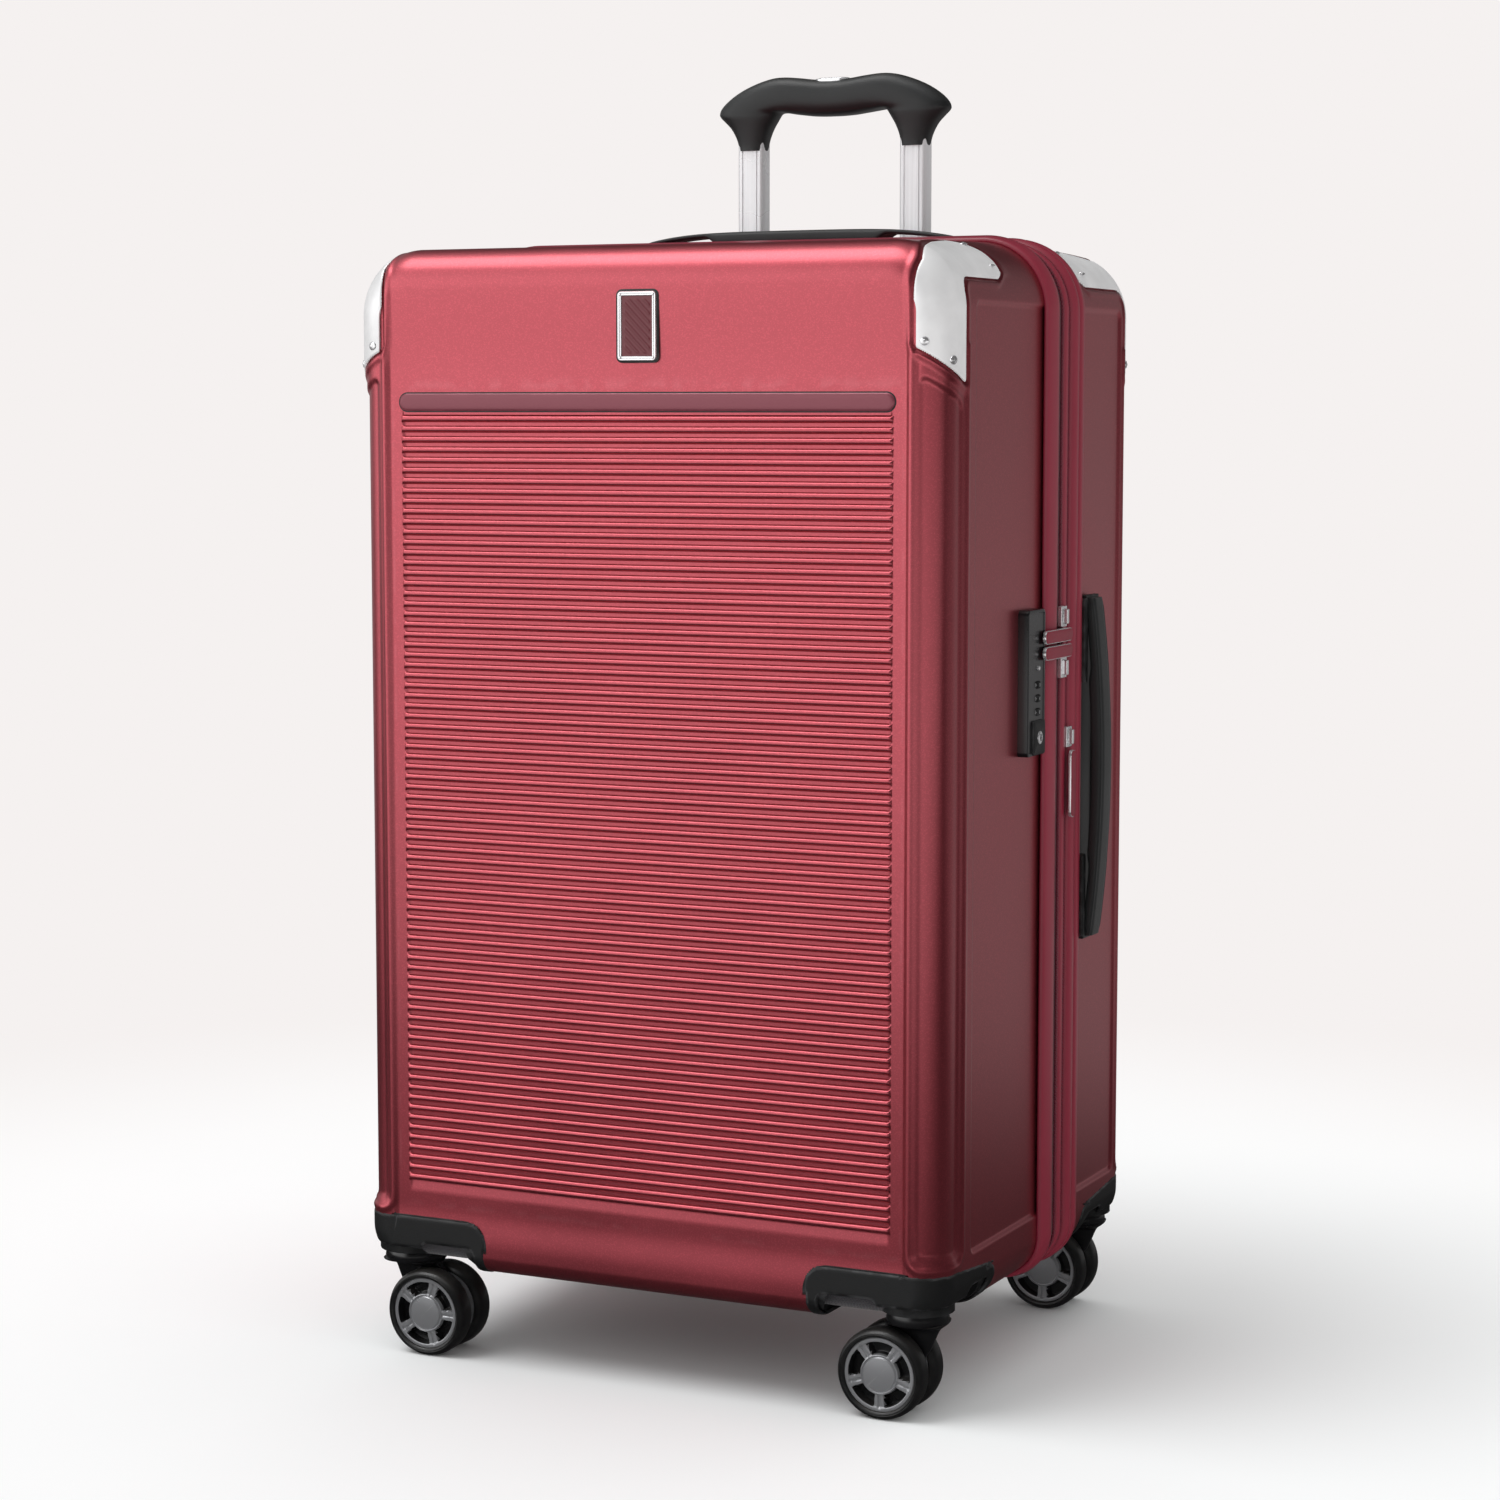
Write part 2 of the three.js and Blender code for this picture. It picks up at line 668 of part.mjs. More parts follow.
place("main_slider_upper", zipSlider(mainZipY, 509.5), steel);
place("main_slider_lower", zipSlider(mainZipY, 475), steel);
place("expansion_slider", zipSlider(expansionZipY, 427), steel);
place("main_pull_upper", lockPull(497.6), trimRed);
place("main_pull_lower", lockPull(486.9), trimRed);
place("expansion_pull", hangingPull(), trimRed);

// X = 0 is moved from the shells' middle to the middle of the overall footprint.
const reach = new THREE.Box3().setFromObject(suitcase);
suitcase.position.x = -(reach.min.x + reach.max.x) / 2;
const travelCase = new THREE.Group();
travelCase.add(suitcase);

export default travelCase;
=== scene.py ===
import math

import bmesh
import bpy
import numpy as np
from mathutils import Matrix, Vector


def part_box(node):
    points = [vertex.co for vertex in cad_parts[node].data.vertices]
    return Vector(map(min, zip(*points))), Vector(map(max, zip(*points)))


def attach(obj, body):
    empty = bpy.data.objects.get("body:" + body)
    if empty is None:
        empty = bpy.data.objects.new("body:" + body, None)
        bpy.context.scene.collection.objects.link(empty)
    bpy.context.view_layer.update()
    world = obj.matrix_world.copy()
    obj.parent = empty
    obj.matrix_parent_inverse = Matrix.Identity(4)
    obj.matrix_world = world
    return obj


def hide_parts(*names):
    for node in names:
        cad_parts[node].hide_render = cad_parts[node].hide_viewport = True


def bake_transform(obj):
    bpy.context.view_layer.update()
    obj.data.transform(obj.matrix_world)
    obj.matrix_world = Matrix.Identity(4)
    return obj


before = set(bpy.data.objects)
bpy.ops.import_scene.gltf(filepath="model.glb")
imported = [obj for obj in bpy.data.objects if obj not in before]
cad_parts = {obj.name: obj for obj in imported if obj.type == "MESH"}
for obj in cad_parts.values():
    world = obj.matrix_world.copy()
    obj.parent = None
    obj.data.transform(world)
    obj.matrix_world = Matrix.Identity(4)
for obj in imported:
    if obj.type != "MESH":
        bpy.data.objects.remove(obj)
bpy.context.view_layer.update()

# ---------------------------------------------------------------- the case's own measures
# Lengths are millimetres in the case's frame: X = 0 is the middle of the shells, the front
# shell faces -Y, and Z = 0 is the floor. place() turns them into metres in the row's frame.
MM = 0.001


def node_box(name):
    """A CAD node's lowest and highest corner in millimetres."""
    low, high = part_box(name)
    return np.array(low) / MM, np.array(high) / MM


shell_low, shell_high = node_box("front_shell")
rear_low, rear_high = node_box("rear_shell")
MIDDLE_X = (shell_low[0] + shell_high[0]) / 2
HALF_WIDTH = (shell_high[0] - shell_low[0]) / 2
TOP = shell_high[2]
BOTTOM = shell_low[2]
FRONT_RIM, FRONT_FACE = shell_high[1], shell_low[1]
REAR_RIM, REAR_FACE = rear_low[1], rear_high[1]

TOP_RADIUS = 46
BOTTOM_RADIUS = 28
SIDE_DRAFT = 0.005
TOP_DRAFT = 0.03
EDGE_DEPTH = 22
SIDE_EDGE, TOP_EDGE, BOTTOM_EDGE = 21, 27, 14
WALL = 3

MAIN_ZIP = 24
EXPANSION_ZIP = 36
CASTER_X, CASTER_Y, TRAIL = 189, 148, 19
HUB_HEIGHT = 29.743
WHEEL_RADIUS = 30
WHEEL_WIDTH = 16.5
DISC_SPACING = 25
LEG_X, LEG_Y = 64, 135
CARRY_Y = 78
LOCK_Y, LOCK_Z = -26.5, 468.5
LOCK_FACE = HALF_WIDTH + 5.5
ALONG_X, ALONG_Y, ALONG_Z = (1, 0, 0), (0, 1, 0), (0, 0, 1)


# ---------------------------------------------------------------- meshes from arrays
def place(points):
    """Case millimetres to row metres."""
    return (np.asarray(points, float) + [MIDDLE_X, 0, 0]) * MM


def grid_faces(rows, columns, wrap_rows=False, wrap_columns=False):
    """Quads of a grid of rows x columns points, wrapped round where the grid closes."""
    r = np.arange(rows if wrap_rows else rows - 1)[:, None]
    c = np.arange(columns if wrap_columns else columns - 1)[None, :]
    next_r, next_c = (r + 1) % rows, (c + 1) % columns
    corners = [r * columns + c, r * columns + next_c, next_r * columns + next_c, next_r * columns + c]
    return np.stack([corner.ravel() for corner in corners], 1)


def sheet_of(points, wrap_rows=False, wrap_columns=False):
    """A grid of points (rows, columns, 3) as (points, quads)."""
    rows, columns = points.shape[:2]
    return points.reshape(-1, 3), grid_faces(rows, columns, wrap_rows, wrap_columns)


def joined(*sheets):
    """Several (points, quads) as one."""
    points, quads, start = [], [], 0
    for p, q in sheets:
        points.append(p)
        quads.append(q + start)
        start += len(p)
    return np.concatenate(points), np.concatenate(quads)


def mirrored(sheet):
    """The same (points, quads) on the other side of X = 0."""
    points, quads = sheet
    return points * [-1, 1, 1], quads[:, ::-1]


def link_piece(name, mesh, body, material, replaces=()):
    """Puts a mesh into the scene as a piece of the case."""
    piece = bpy.data.objects.new(name, mesh)
    bpy.context.scene.collection.objects.link(piece)
    mesh.materials.clear()
    mesh.materials.append(material)
    if body:
        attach(piece, body)
    if replaces:
        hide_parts(*replaces)
    return piece


def make_piece(name, sheet, body, material, replaces=(), sharp=35, facing=None, flow=None, weld=0.01):
    """A piece from (points, quads): doubles welded, faces outward, edges sharp past an angle.

    A closed form turns its faces outward by itself. An open sheet needs facing, a direction that its
    average normal agrees with. flow is each point's place along and across the sheet, in metres."""
    points, quads = sheet
    mesh = bpy.data.meshes.new(name)
    mesh.vertices.add(len(points))
    mesh.vertices.foreach_set("co", place(points).astype(np.float32).ravel())
    mesh.loops.add(quads.size)
    mesh.loops.foreach_set("vertex_index", quads.astype(np.int32).ravel())
    mesh.polygons.add(len(quads))
    mesh.polygons.foreach_set("loop_start", np.arange(0, quads.size, 4, dtype=np.int32))
    mesh.update(calc_edges=True)
    if flow is not None:
        layer = mesh.attributes.new("flow", "FLOAT_VECTOR", "POINT")
        layer.data.foreach_set("vector", flow.astype(np.float32).ravel())
    tidy = bmesh.new()
    tidy.from_mesh(mesh)
    bmesh.ops.remove_doubles(tidy, verts=tidy.verts, dist=weld * MM)
    bmesh.ops.dissolve_degenerate(tidy, edges=tidy.edges, dist=weld * MM * 0.5)
    bmesh.ops.recalc_face_normals(tidy, faces=tidy.faces)
    if facing is not None:
        total = sum((face.normal * face.calc_area() for face in tidy.faces), start=Vector())
        if total.dot(Vector(facing)) < 0:
            bmesh.ops.reverse_faces(tidy, faces=tidy.faces)
    tidy.to_mesh(mesh)
    tidy.free()
    mesh.shade_smooth()
    mesh.set_sharp_from_angle(angle=math.radians(sharp))
    return link_piece(name, mesh, body, material, replaces)


def refined(name, node, body, material, bevel=0.5, angle=30):
    """A copy of a CAD node with its facets merged and its edges rounded."""
    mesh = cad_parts[node].data.copy()
    tidy = bmesh.new()
    tidy.from_mesh(mesh)
    bmesh.ops.remove_doubles(tidy, verts=tidy.verts, dist=0.02 * MM)
    bmesh.ops.dissolve_limit(
        tidy, angle_limit=math.radians(0.8), verts=tidy.verts, edges=tidy.edges
    )
    tidy.to_mesh(mesh)
    tidy.free()
    mesh.shade_smooth()
    mesh.set_sharp_from_angle(angle=math.radians(angle))
    piece = link_piece(name, mesh, body, material, [node])
    round_edges(piece, bevel, angle)
    return piece


def round_edges(piece, width, angle=35, segments=2):
    """Rounds every edge sharper than an angle."""
    edge = piece.modifiers.new("edge", "BEVEL")
    edge.width = width * MM
    edge.segments = segments
    edge.limit_method = "ANGLE"
    edge.angle_limit = math.radians(angle)
    edge.harden_normals = True
    return piece


def apply_modifiers(piece):
    """Bakes a piece's modifiers into its mesh."""
    graph = bpy.context.evaluated_depsgraph_get()
    baked = bpy.data.meshes.new_from_object(piece.evaluated_get(graph))
    piece.modifiers.clear()
    piece.data = baked


def thicken(piece, thickness, bevel=0.0, sharp=50):
    """Gives a sheet a wall inwards, keeps its rim crisp, and rounds the rim where asked."""
    solid = piece.modifiers.new("wall", "SOLIDIFY")
    solid.thickness = thickness * MM
    solid.offset = -1
    apply_modifiers(piece)
    piece.data.set_sharp_from_angle(angle=math.radians(sharp))
    if bevel:
        round_edges(piece, bevel, sharp)
    return piece


def smoothstep(value, start, end):
    """0 before start, 1 after end and a smooth rise between."""
    t = np.clip((value - start) / (end - start), 0, 1)
    return t * t * (3 - 2 * t)


def spaced(*stops):
    """Numbers over stretches given as (start, step), closed by the last number."""
    parts = []
    for (start, step), after in zip(stops[:-1], stops[1:]):
        end = after[0] if isinstance(after, tuple) else after
        count = max(1, round(abs(end - start) / step))
        parts.append(np.linspace(start, end, count, endpoint=False))
    parts.append([stops[-1]])
    return np.concatenate(parts)


def curve_through(controls, per=6, closed=False):
    """Points on a smooth curve through the controls: a Catmull-Rom spline."""
    controls = np.asarray(controls, float)
    if closed:
        ring = np.concatenate([controls[-1:], controls, controls[:2]])
    else:
        first = 2 * controls[:1] - controls[1:2]
        last = 2 * controls[-1:] - controls[-2:-1]
        ring = np.concatenate([first, controls, last])
    a, b, c, d = ring[:-3], ring[1:-2], ring[2:-1], ring[3:]
    t = np.linspace(0, 1, per, endpoint=False)[None, :, None]
    a, b, c, d = (part[:, None, :] for part in (a, b, c, d))
    points = 0.5 * (2 * b + (c - a) * t + (2 * a - 5 * b + 4 * c - d) * t**2 + (3 * b - a - 3 * c + d) * t**3)
    points = points.reshape(-1, controls.shape[1])
    return points if closed else np.concatenate([points, controls[-1:]])


def lathe(profile, centre, axis, around=48):
    """A profile of (radius, height) turned round an axis through centre; radius 0 closes an end."""
    profile = np.asarray(profile, float)
    axis = np.asarray(axis, float)
    side = np.array([0, 0, 1.0]) if abs(axis[2]) < 0.5 else np.array([1.0, 0, 0])
    other = np.cross(axis, side)
    turn = np.linspace(0, 2 * math.pi, around, endpoint=False)
    ring = np.cos(turn)[:, None] * side + np.sin(turn)[:, None] * other
    points = profile[:, 0, None, None] * ring[None] + profile[:, 1, None, None] * axis + np.asarray(centre, float)
    return sheet_of(points, wrap_columns=True)


def plate(half_u, half_v, radius, profile, centre, u_axis, v_axis, per_corner=6):
    """Rings of a round-cornered rectangle, each drawn in by its inset and raised by its height.

    profile is (inset, height) from one end to the other; both ends close on the middle."""
    u_axis, v_axis = np.asarray(u_axis, float), np.asarray(v_axis, float)
    w_axis = np.cross(u_axis, v_axis)
    inset, height = np.asarray(profile, float).T[:, :, None]
    r = np.clip(radius - inset, 0.01, None)
    hu, hv = np.maximum(half_u - inset, r), np.maximum(half_v - inset, r)
    corner = np.repeat(np.arange(4), per_corner)
    turn = (corner + np.tile(np.linspace(0, 1, per_corner), 4)) * math.pi / 2
    sign_u, sign_v = np.array([1, -1, -1, 1])[corner], np.array([1, 1, -1, -1])[corner]
    u = sign_u * (hu - r) + r * np.cos(turn)
    v = sign_v * (hv - r) + r * np.sin(turn)
    points = u[..., None] * u_axis + v[..., None] * v_axis + height[..., None] * w_axis + np.asarray(centre, float)
    ends = [np.repeat(part.mean(0, keepdims=True), len(part), 0)[None] for part in (points[0], points[-1])]
    return sheet_of(np.concatenate([ends[0], points, ends[1]]), wrap_columns=True)


# ---------------------------------------------------------------- the case's surface
# A point on a shell is given by s, its place round the outline, and d, its place in depth.
# s counts corner, side, corner, side from +X towards the top: 0 to 1 is the top right corner,
# 1 to 2 the top, 3 to 4 the left side, 5 to 6 the bottom and 7 to 8 the right side.
def outline(s, side, top, bottom):
    """X and Z round a rectangle with round corners, drawn in by side, top and bottom."""
    half = HALF_WIDTH - side
    top_r = np.maximum(TOP_RADIUS - (side + top) / 2, 0.01)
    low_r = np.maximum(BOTTOM_RADIUS - (side + bottom) / 2, 0.01)
    high = TOP - top - top_r
    low = BOTTOM + bottom + low_r
    corners = [
        (half - top_r, high, top_r),
        (-half + top_r, high, top_r),
        (-half + low_r, low, low_r),
        (half - low_r, low, low_r),
    ]
    s = np.mod(s, 8)
    x = np.zeros(np.broadcast(s, half).shape)
    z = np.zeros_like(x)
    for k, (cx, cz, r) in enumerate(corners):
        nx, nz, nr = corners[(k + 1) % 4]
        turn = (k + np.clip(s - 2 * k, 0, 1)) * math.pi / 2
        start_x, start_z = cx + r * np.cos(turn), cz + r * np.sin(turn)
        end = (k + 1) * math.pi / 2
        along = np.clip(s - 2 * k - 1, 0, 1)
        end_x, end_z = nx + nr * math.cos(end), nz + nr * math.sin(end)
        here = (s >= 2 * k) & (s < 2 * k + 2)
        x = np.where(here, start_x + (end_x - start_x) * along, x)
        z = np.where(here, start_z + (end_z - start_z) * along, z)
    return x, z


# The rectangle of the broad face that carries the ribs and the bar.
FIELD_X, FIELD_LOW, FIELD_HIGH = 186, 108, 664
RIB_HALF, RIB_LOW, RIB_HIGH, RIB_COUNT = 179, 121.5, 644.5, 76
RIB_PITCH = (RIB_HIGH - RIB_LOW) / RIB_COUNT
RIB_RISE = 1.5
RIB_GROOVE = 0.9


class Half:
    """One half shell: d runs 0 to 1 down the wall, to 2 over the rounding and to 3 in to the field."""

    def __init__(self, rim, face):
        self.rim, self.face = rim, face
        self.side = math.copysign(1, face - rim)
        self.depth = abs(face - rim) - EDGE_DEPTH

    def point(self, s, d, lift=0.0):
        """The wall runs straight with a draft, then rounds over a quarter ellipse to the flat face."""
        along = np.minimum(d, 1) * self.depth
        turn = np.clip(d - 1, 0, 1) * math.pi / 2
        drawn = 1 - np.cos(turn)
        x, z = outline(
            s,
            SIDE_DRAFT * along + (SIDE_EDGE + lift) * drawn - lift,
            TOP_DRAFT * along + (TOP_EDGE + lift) * drawn - lift,
            SIDE_DRAFT * along + (BOTTOM_EDGE + lift) * drawn - lift,
        )
        inward = np.clip(d - 2, 0, 1)
        x = x + (np.clip(x, -FIELD_X, FIELD_X) - x) * inward
        z = z + (np.clip(z, FIELD_LOW, FIELD_HIGH) - z) * inward
        y = self.rim + self.side * (along + (EDGE_DEPTH + lift) * np.sin(turn))
        return np.stack([x, np.broadcast_to(y, x.shape), z], -1)


FRONT = Half(FRONT_RIM, FRONT_FACE)
REAR = Half(REAR_RIM, REAR_FACE)


def face_level(x, z):
    """How far the inner face lies under its border: a soft step, faded towards the ends."""
    step = smoothstep(np.abs(x), 191, 187)
    fade = smoothstep(z, 738, 672) * smoothstep(z, 80, 107)
    return -RIB_RISE * step * fade


def rib_level(x, z):
    """Rounded ribs side by side: each rises as a squared-off half ellipse with round ends."""
    phase = np.mod((RIB_HIGH - z) / RIB_PITCH, 1)
    across = np.abs(phase - 0.36) / 0.33
    over = np.maximum(np.abs(x) - (RIB_HALF - 2.4), 0) / 2.4
    body = np.clip(1 - across**2.4, 0, 1) ** 0.6
    inside = (z < RIB_HIGH) & (z > RIB_LOW)
    ends = np.sqrt(np.clip(1 - over**2, 0, 1))
    groove = RIB_GROOVE * smoothstep(np.abs(x), RIB_HALF, RIB_HALF - 3)
    return ((RIB_RISE * ends + groove) * body - groove) * inside


def rounded_meet(a, b, radius):
    """The part inside both a and b, with its outer corner rounded."""
    past = np.hypot(np.maximum(a + radius, 0), np.maximum(b + radius, 0))
    return np.minimum(np.maximum(a, b), -radius) + past


def rounded_union(a, b, radius):
    """The part inside a or b, with its inner corner filleted."""
    past = np.hypot(np.maximum(radius - a, 0), np.maximum(radius - b, 0))
    return np.maximum(np.minimum(a, b), radius) - past


# ---------------------------------------------------------------- regions at the corners
# Each region gives the distance outside it, in millimetres, from |X|, the depth behind the broad
# face and Z, so one region serves all four corners.
def corner_place(points, half):
    return np.abs(points[..., 0]), abs(half.face) - np.abs(points[..., 1]), points[..., 2]


# How far the guard's arm, the channel and the pocket reach round the corner, and where the side
# panel starts: the rear half keeps them closer to its face.
REACH = {1.0: {"arm": 16.0, "channel": 18.0, "pocket": 15.5, "panel": 27.0},
         -1.0: {"arm": 29.8, "channel": 31.5, "pocket": 28.0, "panel": 48.5}}
GUARD_LEFT = ([0, 7.5, 41.5, 79.5, 120], [192.8, 195, 186, 180, 178])
GUARD_TAIL = ([176, 180, 184, 188.5, 197, 204, 209.6, 211.5, 214], [72, 79.5, 88, 94.5, 102, 103.8, 103, 97, 88])
NOTCH_RADIUS = 12


def guard_region(points, half):
    """A corner guard: an arm down the upright corner and a fin back along the top edge."""
    x, q, z = corner_place(points, half)
    left = np.interp(q, *GUARD_LEFT) - x
    tail = q - np.interp(x, *GUARD_TAIL)
    slant = 687 - 0.43 * ((x - 193) + q) - z
    body = rounded_union(q - REACH[half.side]["arm"], 731.3 - z, NOTCH_RADIUS)
    return rounded_meet(rounded_meet(rounded_meet(body, slant, 3), left, 3), tail, 3)


def channel_region(points, half):
    """The long recess down each upright corner, under the guard."""
    x, q, z = corner_place(points, half)
    sides = rounded_meet(194.2 - x, q - REACH[half.side]["channel"], 1)
    return rounded_meet(sides, np.maximum(z - 700, 104.5 - z), 7)


def pocket_region(points, half):
    """The deeper part of that recess, below a slanted top."""
    x, q, z = corner_place(points, half)
    sides = rounded_meet(196.5 - x, q - REACH[half.side]["pocket"], 1)
    ends = np.maximum(z - (671.5 - 0.36 * ((x - 193) + q)), 108 - z)
    return rounded_meet(sides, ends, 6)


def side_panel_region(points, half):
    """The shallow panel on each side wall."""
    x, q, z = corner_place(points, half)
    sides = np.maximum(REACH[half.side]["panel"] - q, 190 - x)
    return rounded_meet(sides, np.maximum(z - 716, 104.5 - z), 5)


def housing_region(points, half):
    """A caster housing: two arms that meet at the bottom corner."""
    x, q, z = corner_place(points, half)
    upper = z - 98.3 + 0.10 * np.maximum(0, q - 22)
    front_arm = 119 + 0.06 * np.maximum(0, 90 - z) - x
    return rounded_meet(np.maximum(front_arm, q - 92), upper, 13)


def housing_skin_region(points, half):
    """The housing's skin, less the openings under its two arms and the swivel's cut at the corner."""
    x, q, z = corner_place(points, half)
    front_gap = rounded_meet(np.maximum(128.7 - x, x - 170), z - 80, 6)
    side_gap = rounded_meet(np.maximum(q - 80, 48 - q), z - 82, 5)
    corner_cut = np.maximum.reduce([z - 76, 160 - x, q - 52])
    return np.maximum(housing_region(points, half), -np.minimum(np.minimum(front_gap, side_gap), corner_cut))


def shell_lift(half, s, d):
    """The shell's relief: lips and seats at the guards, the corner channels and the side panels."""
    flat = half.point(s, d)
    guard = guard_region(flat, half)
    lip = smoothstep(guard, 8.0, 4.0) * smoothstep(guard, 0.6, 3.4)
    lift = 0.7 * lip - 1.3 * smoothstep(guard, 2.4, 0.4)
    clear = smoothstep(guard, 0.5, 6.0)
    channel = channel_region(flat, half)
    lift += -1.1 * smoothstep(channel, 1.6, -2.2) * clear
    lift += 0.8 * smoothstep(channel, 0.4, 2.2) * smoothstep(channel, 7.0, 3.0) * clear * (flat[..., 2] < 690)
    lift += -1.5 * smoothstep(pocket_region(flat, half), 1.2, -2.6) * clear
    lift += -1.5 * smoothstep(side_panel_region(flat, half), 1.2, -2.2) * (d < 1.02) * clear
    lift += face_level(flat[..., 0], flat[..., 2]) * (d > 1.75)
    return lift


# ---------------------------------------------------------------- shells
def outline_places():
    """Places round the outline, close together where guards, channels and housings are."""
    low_end = spaced((0, 0.0022), (0.030, 0.004), (0.045, 0.05), 0.86)
    high_end = spaced((0.86, 0.01), (0.89, 0.0021), 1)
    right = 7 + np.concatenate([low_end[:-1], high_end])
    left = 4 - (right - 7)
    top_corner = np.linspace(0, 1, 56)
    low_corner = np.linspace(0, 1, 26)
    top = spaced((1, 0.004), (1.03, 0.03), 1.97)
    top = np.concatenate([top, spaced((1.97, 0.004), 2)])
    cup = 1.5 + np.array([-1, 1]) * 97.0 / (2 * (HALF_WIDTH - TOP_RADIUS))
    bottom_step = spaced((5, 0.03), (5.15, 0.004), (5.2, 0.05), 5.8)
    bottom = np.concatenate([bottom_step, spaced((5.8, 0.004), (5.85, 0.03), 6)])
    parts = [top_corner, top, cup, 2 + top_corner, left, 4 + low_corner, bottom, 6 + low_corner, right]
    return np.unique(np.round(np.mod(np.concatenate(parts), 8), 6))


def depth_places(half):
    """Places in depth, close together at the guard's tail, the side panel and the channel."""
    far = half.depth + EDGE_DEPTH
    behind = spaced((min(far, 107), 1.4), (79, 5), (54, 1.3), EDGE_DEPTH)
    wall = (far - behind) / half.depth
    first = np.linspace(0, wall[0], 8, endpoint=False)
    rounding = 1 + spaced((0, 0.035), (0.9, 0.02), 1)[1:]
    inward = 2 + spaced((0, 0.07), (0.9, 0.1), 1)[1:]
    return np.concatenate([first, wall, rounding, inward])


def shell_sheet(half, cup_hole=False):
    """The shell's outer surface, less the cells under the housings and over the handle cup."""
    s, d = outline_places(), depth_places(half)
    if cup_hole:
        edges = [(abs(edge) - half.rim) / half.depth for edge in (117, 153)]
        d = np.unique(np.round(np.concatenate([d, edges]), 6))
    ss, dd = np.meshgrid(s, d, indexing="ij")
    points, quads = sheet_of(half.point(ss, dd, shell_lift(half, ss, dd)), wrap_rows=True)
    flat = half.point(ss, dd).reshape(-1, 3)
    covered = (housing_region(flat, half) < -2.5)[quads].all(1)
    if cup_hole:
        middle = flat[quads].mean(1)
        cup = (np.abs(middle[:, 0]) < 97) & (middle[:, 1] > 117) & (middle[:, 1] < 153) & (middle[:, 2] > 700)
        covered |= cup
    return points, quads[~covered]


def field_sheet(half):
    """The ribbed panel: rows of the face's level and its ribs, carried across between round ends."""
    end = spaced((-FIELD_X, 1.5), (-RIB_HALF - 0.5, 0.5), (-RIB_HALF + 2.5, 2), -RIB_HALF + 8)
    x = np.concatenate([end, -end[::-1]])
    rib = np.array([0.02, 0.08, 0.16, 0.26, 0.36, 0.46, 0.56, 0.64, 0.70, 0.85])
    ribs = (RIB_HIGH - RIB_PITCH * (np.arange(RIB_COUNT)[:, None] + rib)).ravel()
    z = np.concatenate([spaced((FIELD_LOW, 3), RIB_LOW)[:-1], ribs[::-1], spaced((RIB_HIGH + 0.2, 5), FIELD_HIGH)])
    xx, zz = np.meshgrid(x, z, indexing="ij")
    level = face_level(xx, zz) + rib_level(xx, zz)
    y = half.face + half.side * level
    return sheet_of(np.stack([xx, y, zz], -1))


def trimmed_patch(half, region, s, d, lift_at):
    """A grid on the shell, trimmed to a region.

    Points near the region's edge slide onto it by Newton steps in the surface, cells that reach
    outside are dropped, and every point is lifted by lift_at(distance inside the edge)."""
    ss, dd = np.meshgrid(s, d, indexing="ij")
    wide, deep = np.gradient(s)[:, None], np.gradient(d)[None, :]
    step = 1e-4

    def slopes():
        here = half.point(ss, dd)
        value = region(here, half)
        by_s, by_d = half.point(ss + step, dd), half.point(ss, dd + step)
        length_s = np.linalg.norm(by_s - here, axis=-1) / step + 1e-9
        length_d = np.linalg.norm(by_d - here, axis=-1) / step + 1e-9
        slope_s = (region(by_s, half) - value) / step / length_s
        slope_d = (region(by_d, half) - value) / step / length_d
        return value, slope_s, slope_d, length_s, length_d

    value, slope_s, slope_d, length_s, length_d = slopes()
    reach = np.maximum(np.abs(slope_s) * wide * length_s, np.abs(slope_d) * deep * length_d)
    near = (value > -0.44 * reach) & (value < 0.62 * reach)
    for _ in range(5):
        value, slope_s, slope_d, length_s, length_d = slopes()
        size = np.maximum(slope_s**2 + slope_d**2, 0.2)
        move = np.where(near, np.clip(-value / size, -1, 1), 0)
        ss, dd = ss + move * slope_s / length_s, dd + move * slope_d / length_d
    inside = -region(half.point(ss, dd), half)
    points, quads = sheet_of(half.point(ss, dd, lift_at(np.maximum(inside, 0))))
    kept = (inside.ravel() > -0.15)[quads].all(1)
    return points, quads[kept]


# ---------------------------------------------------------------- bands round the rim
def ring_places(corner=24, straight=6):
    """Places once round the outline, with the seam in the middle of the bottom."""
    parts = []
    for k in range(4):
        parts.append(2 * k + np.linspace(0, 1, corner, endpoint=False))
        parts.append(2 * k + 1 + np.linspace(0, 1, straight, endpoint=False))
    ring = np.sort(np.concatenate(parts))
    start = 5.5
    return np.concatenate([[start], ring[ring > start], ring[ring < start] + 8, [start + 8]])


def ring_band(section, closed=True, places=None):
    """A section of (Y, outward) carried round the rim, and each point's place along and across."""
    s = ring_places() if places is None else places
    y, out = np.asarray(section, float).T
    ss, oo = np.meshgrid(s, out, indexing="ij")
    x, z = outline(ss, -oo, -oo, -oo)
    points = np.stack([x, np.broadcast_to(y, x.shape), z], -1)
    x0, z0 = outline(s, 0 * s, 0 * s, 0 * s)
    along = np.concatenate([[0], np.cumsum(np.hypot(np.diff(x0), np.diff(z0)))])
    across = np.concatenate([[0], np.cumsum(np.hypot(np.diff(y), np.diff(out)))])
    flow = np.stack(np.broadcast_arrays(along[:, None], across[None, :], 0.0), -1).reshape(-1, 3) * MM
    return sheet_of(points, wrap_columns=closed), flow


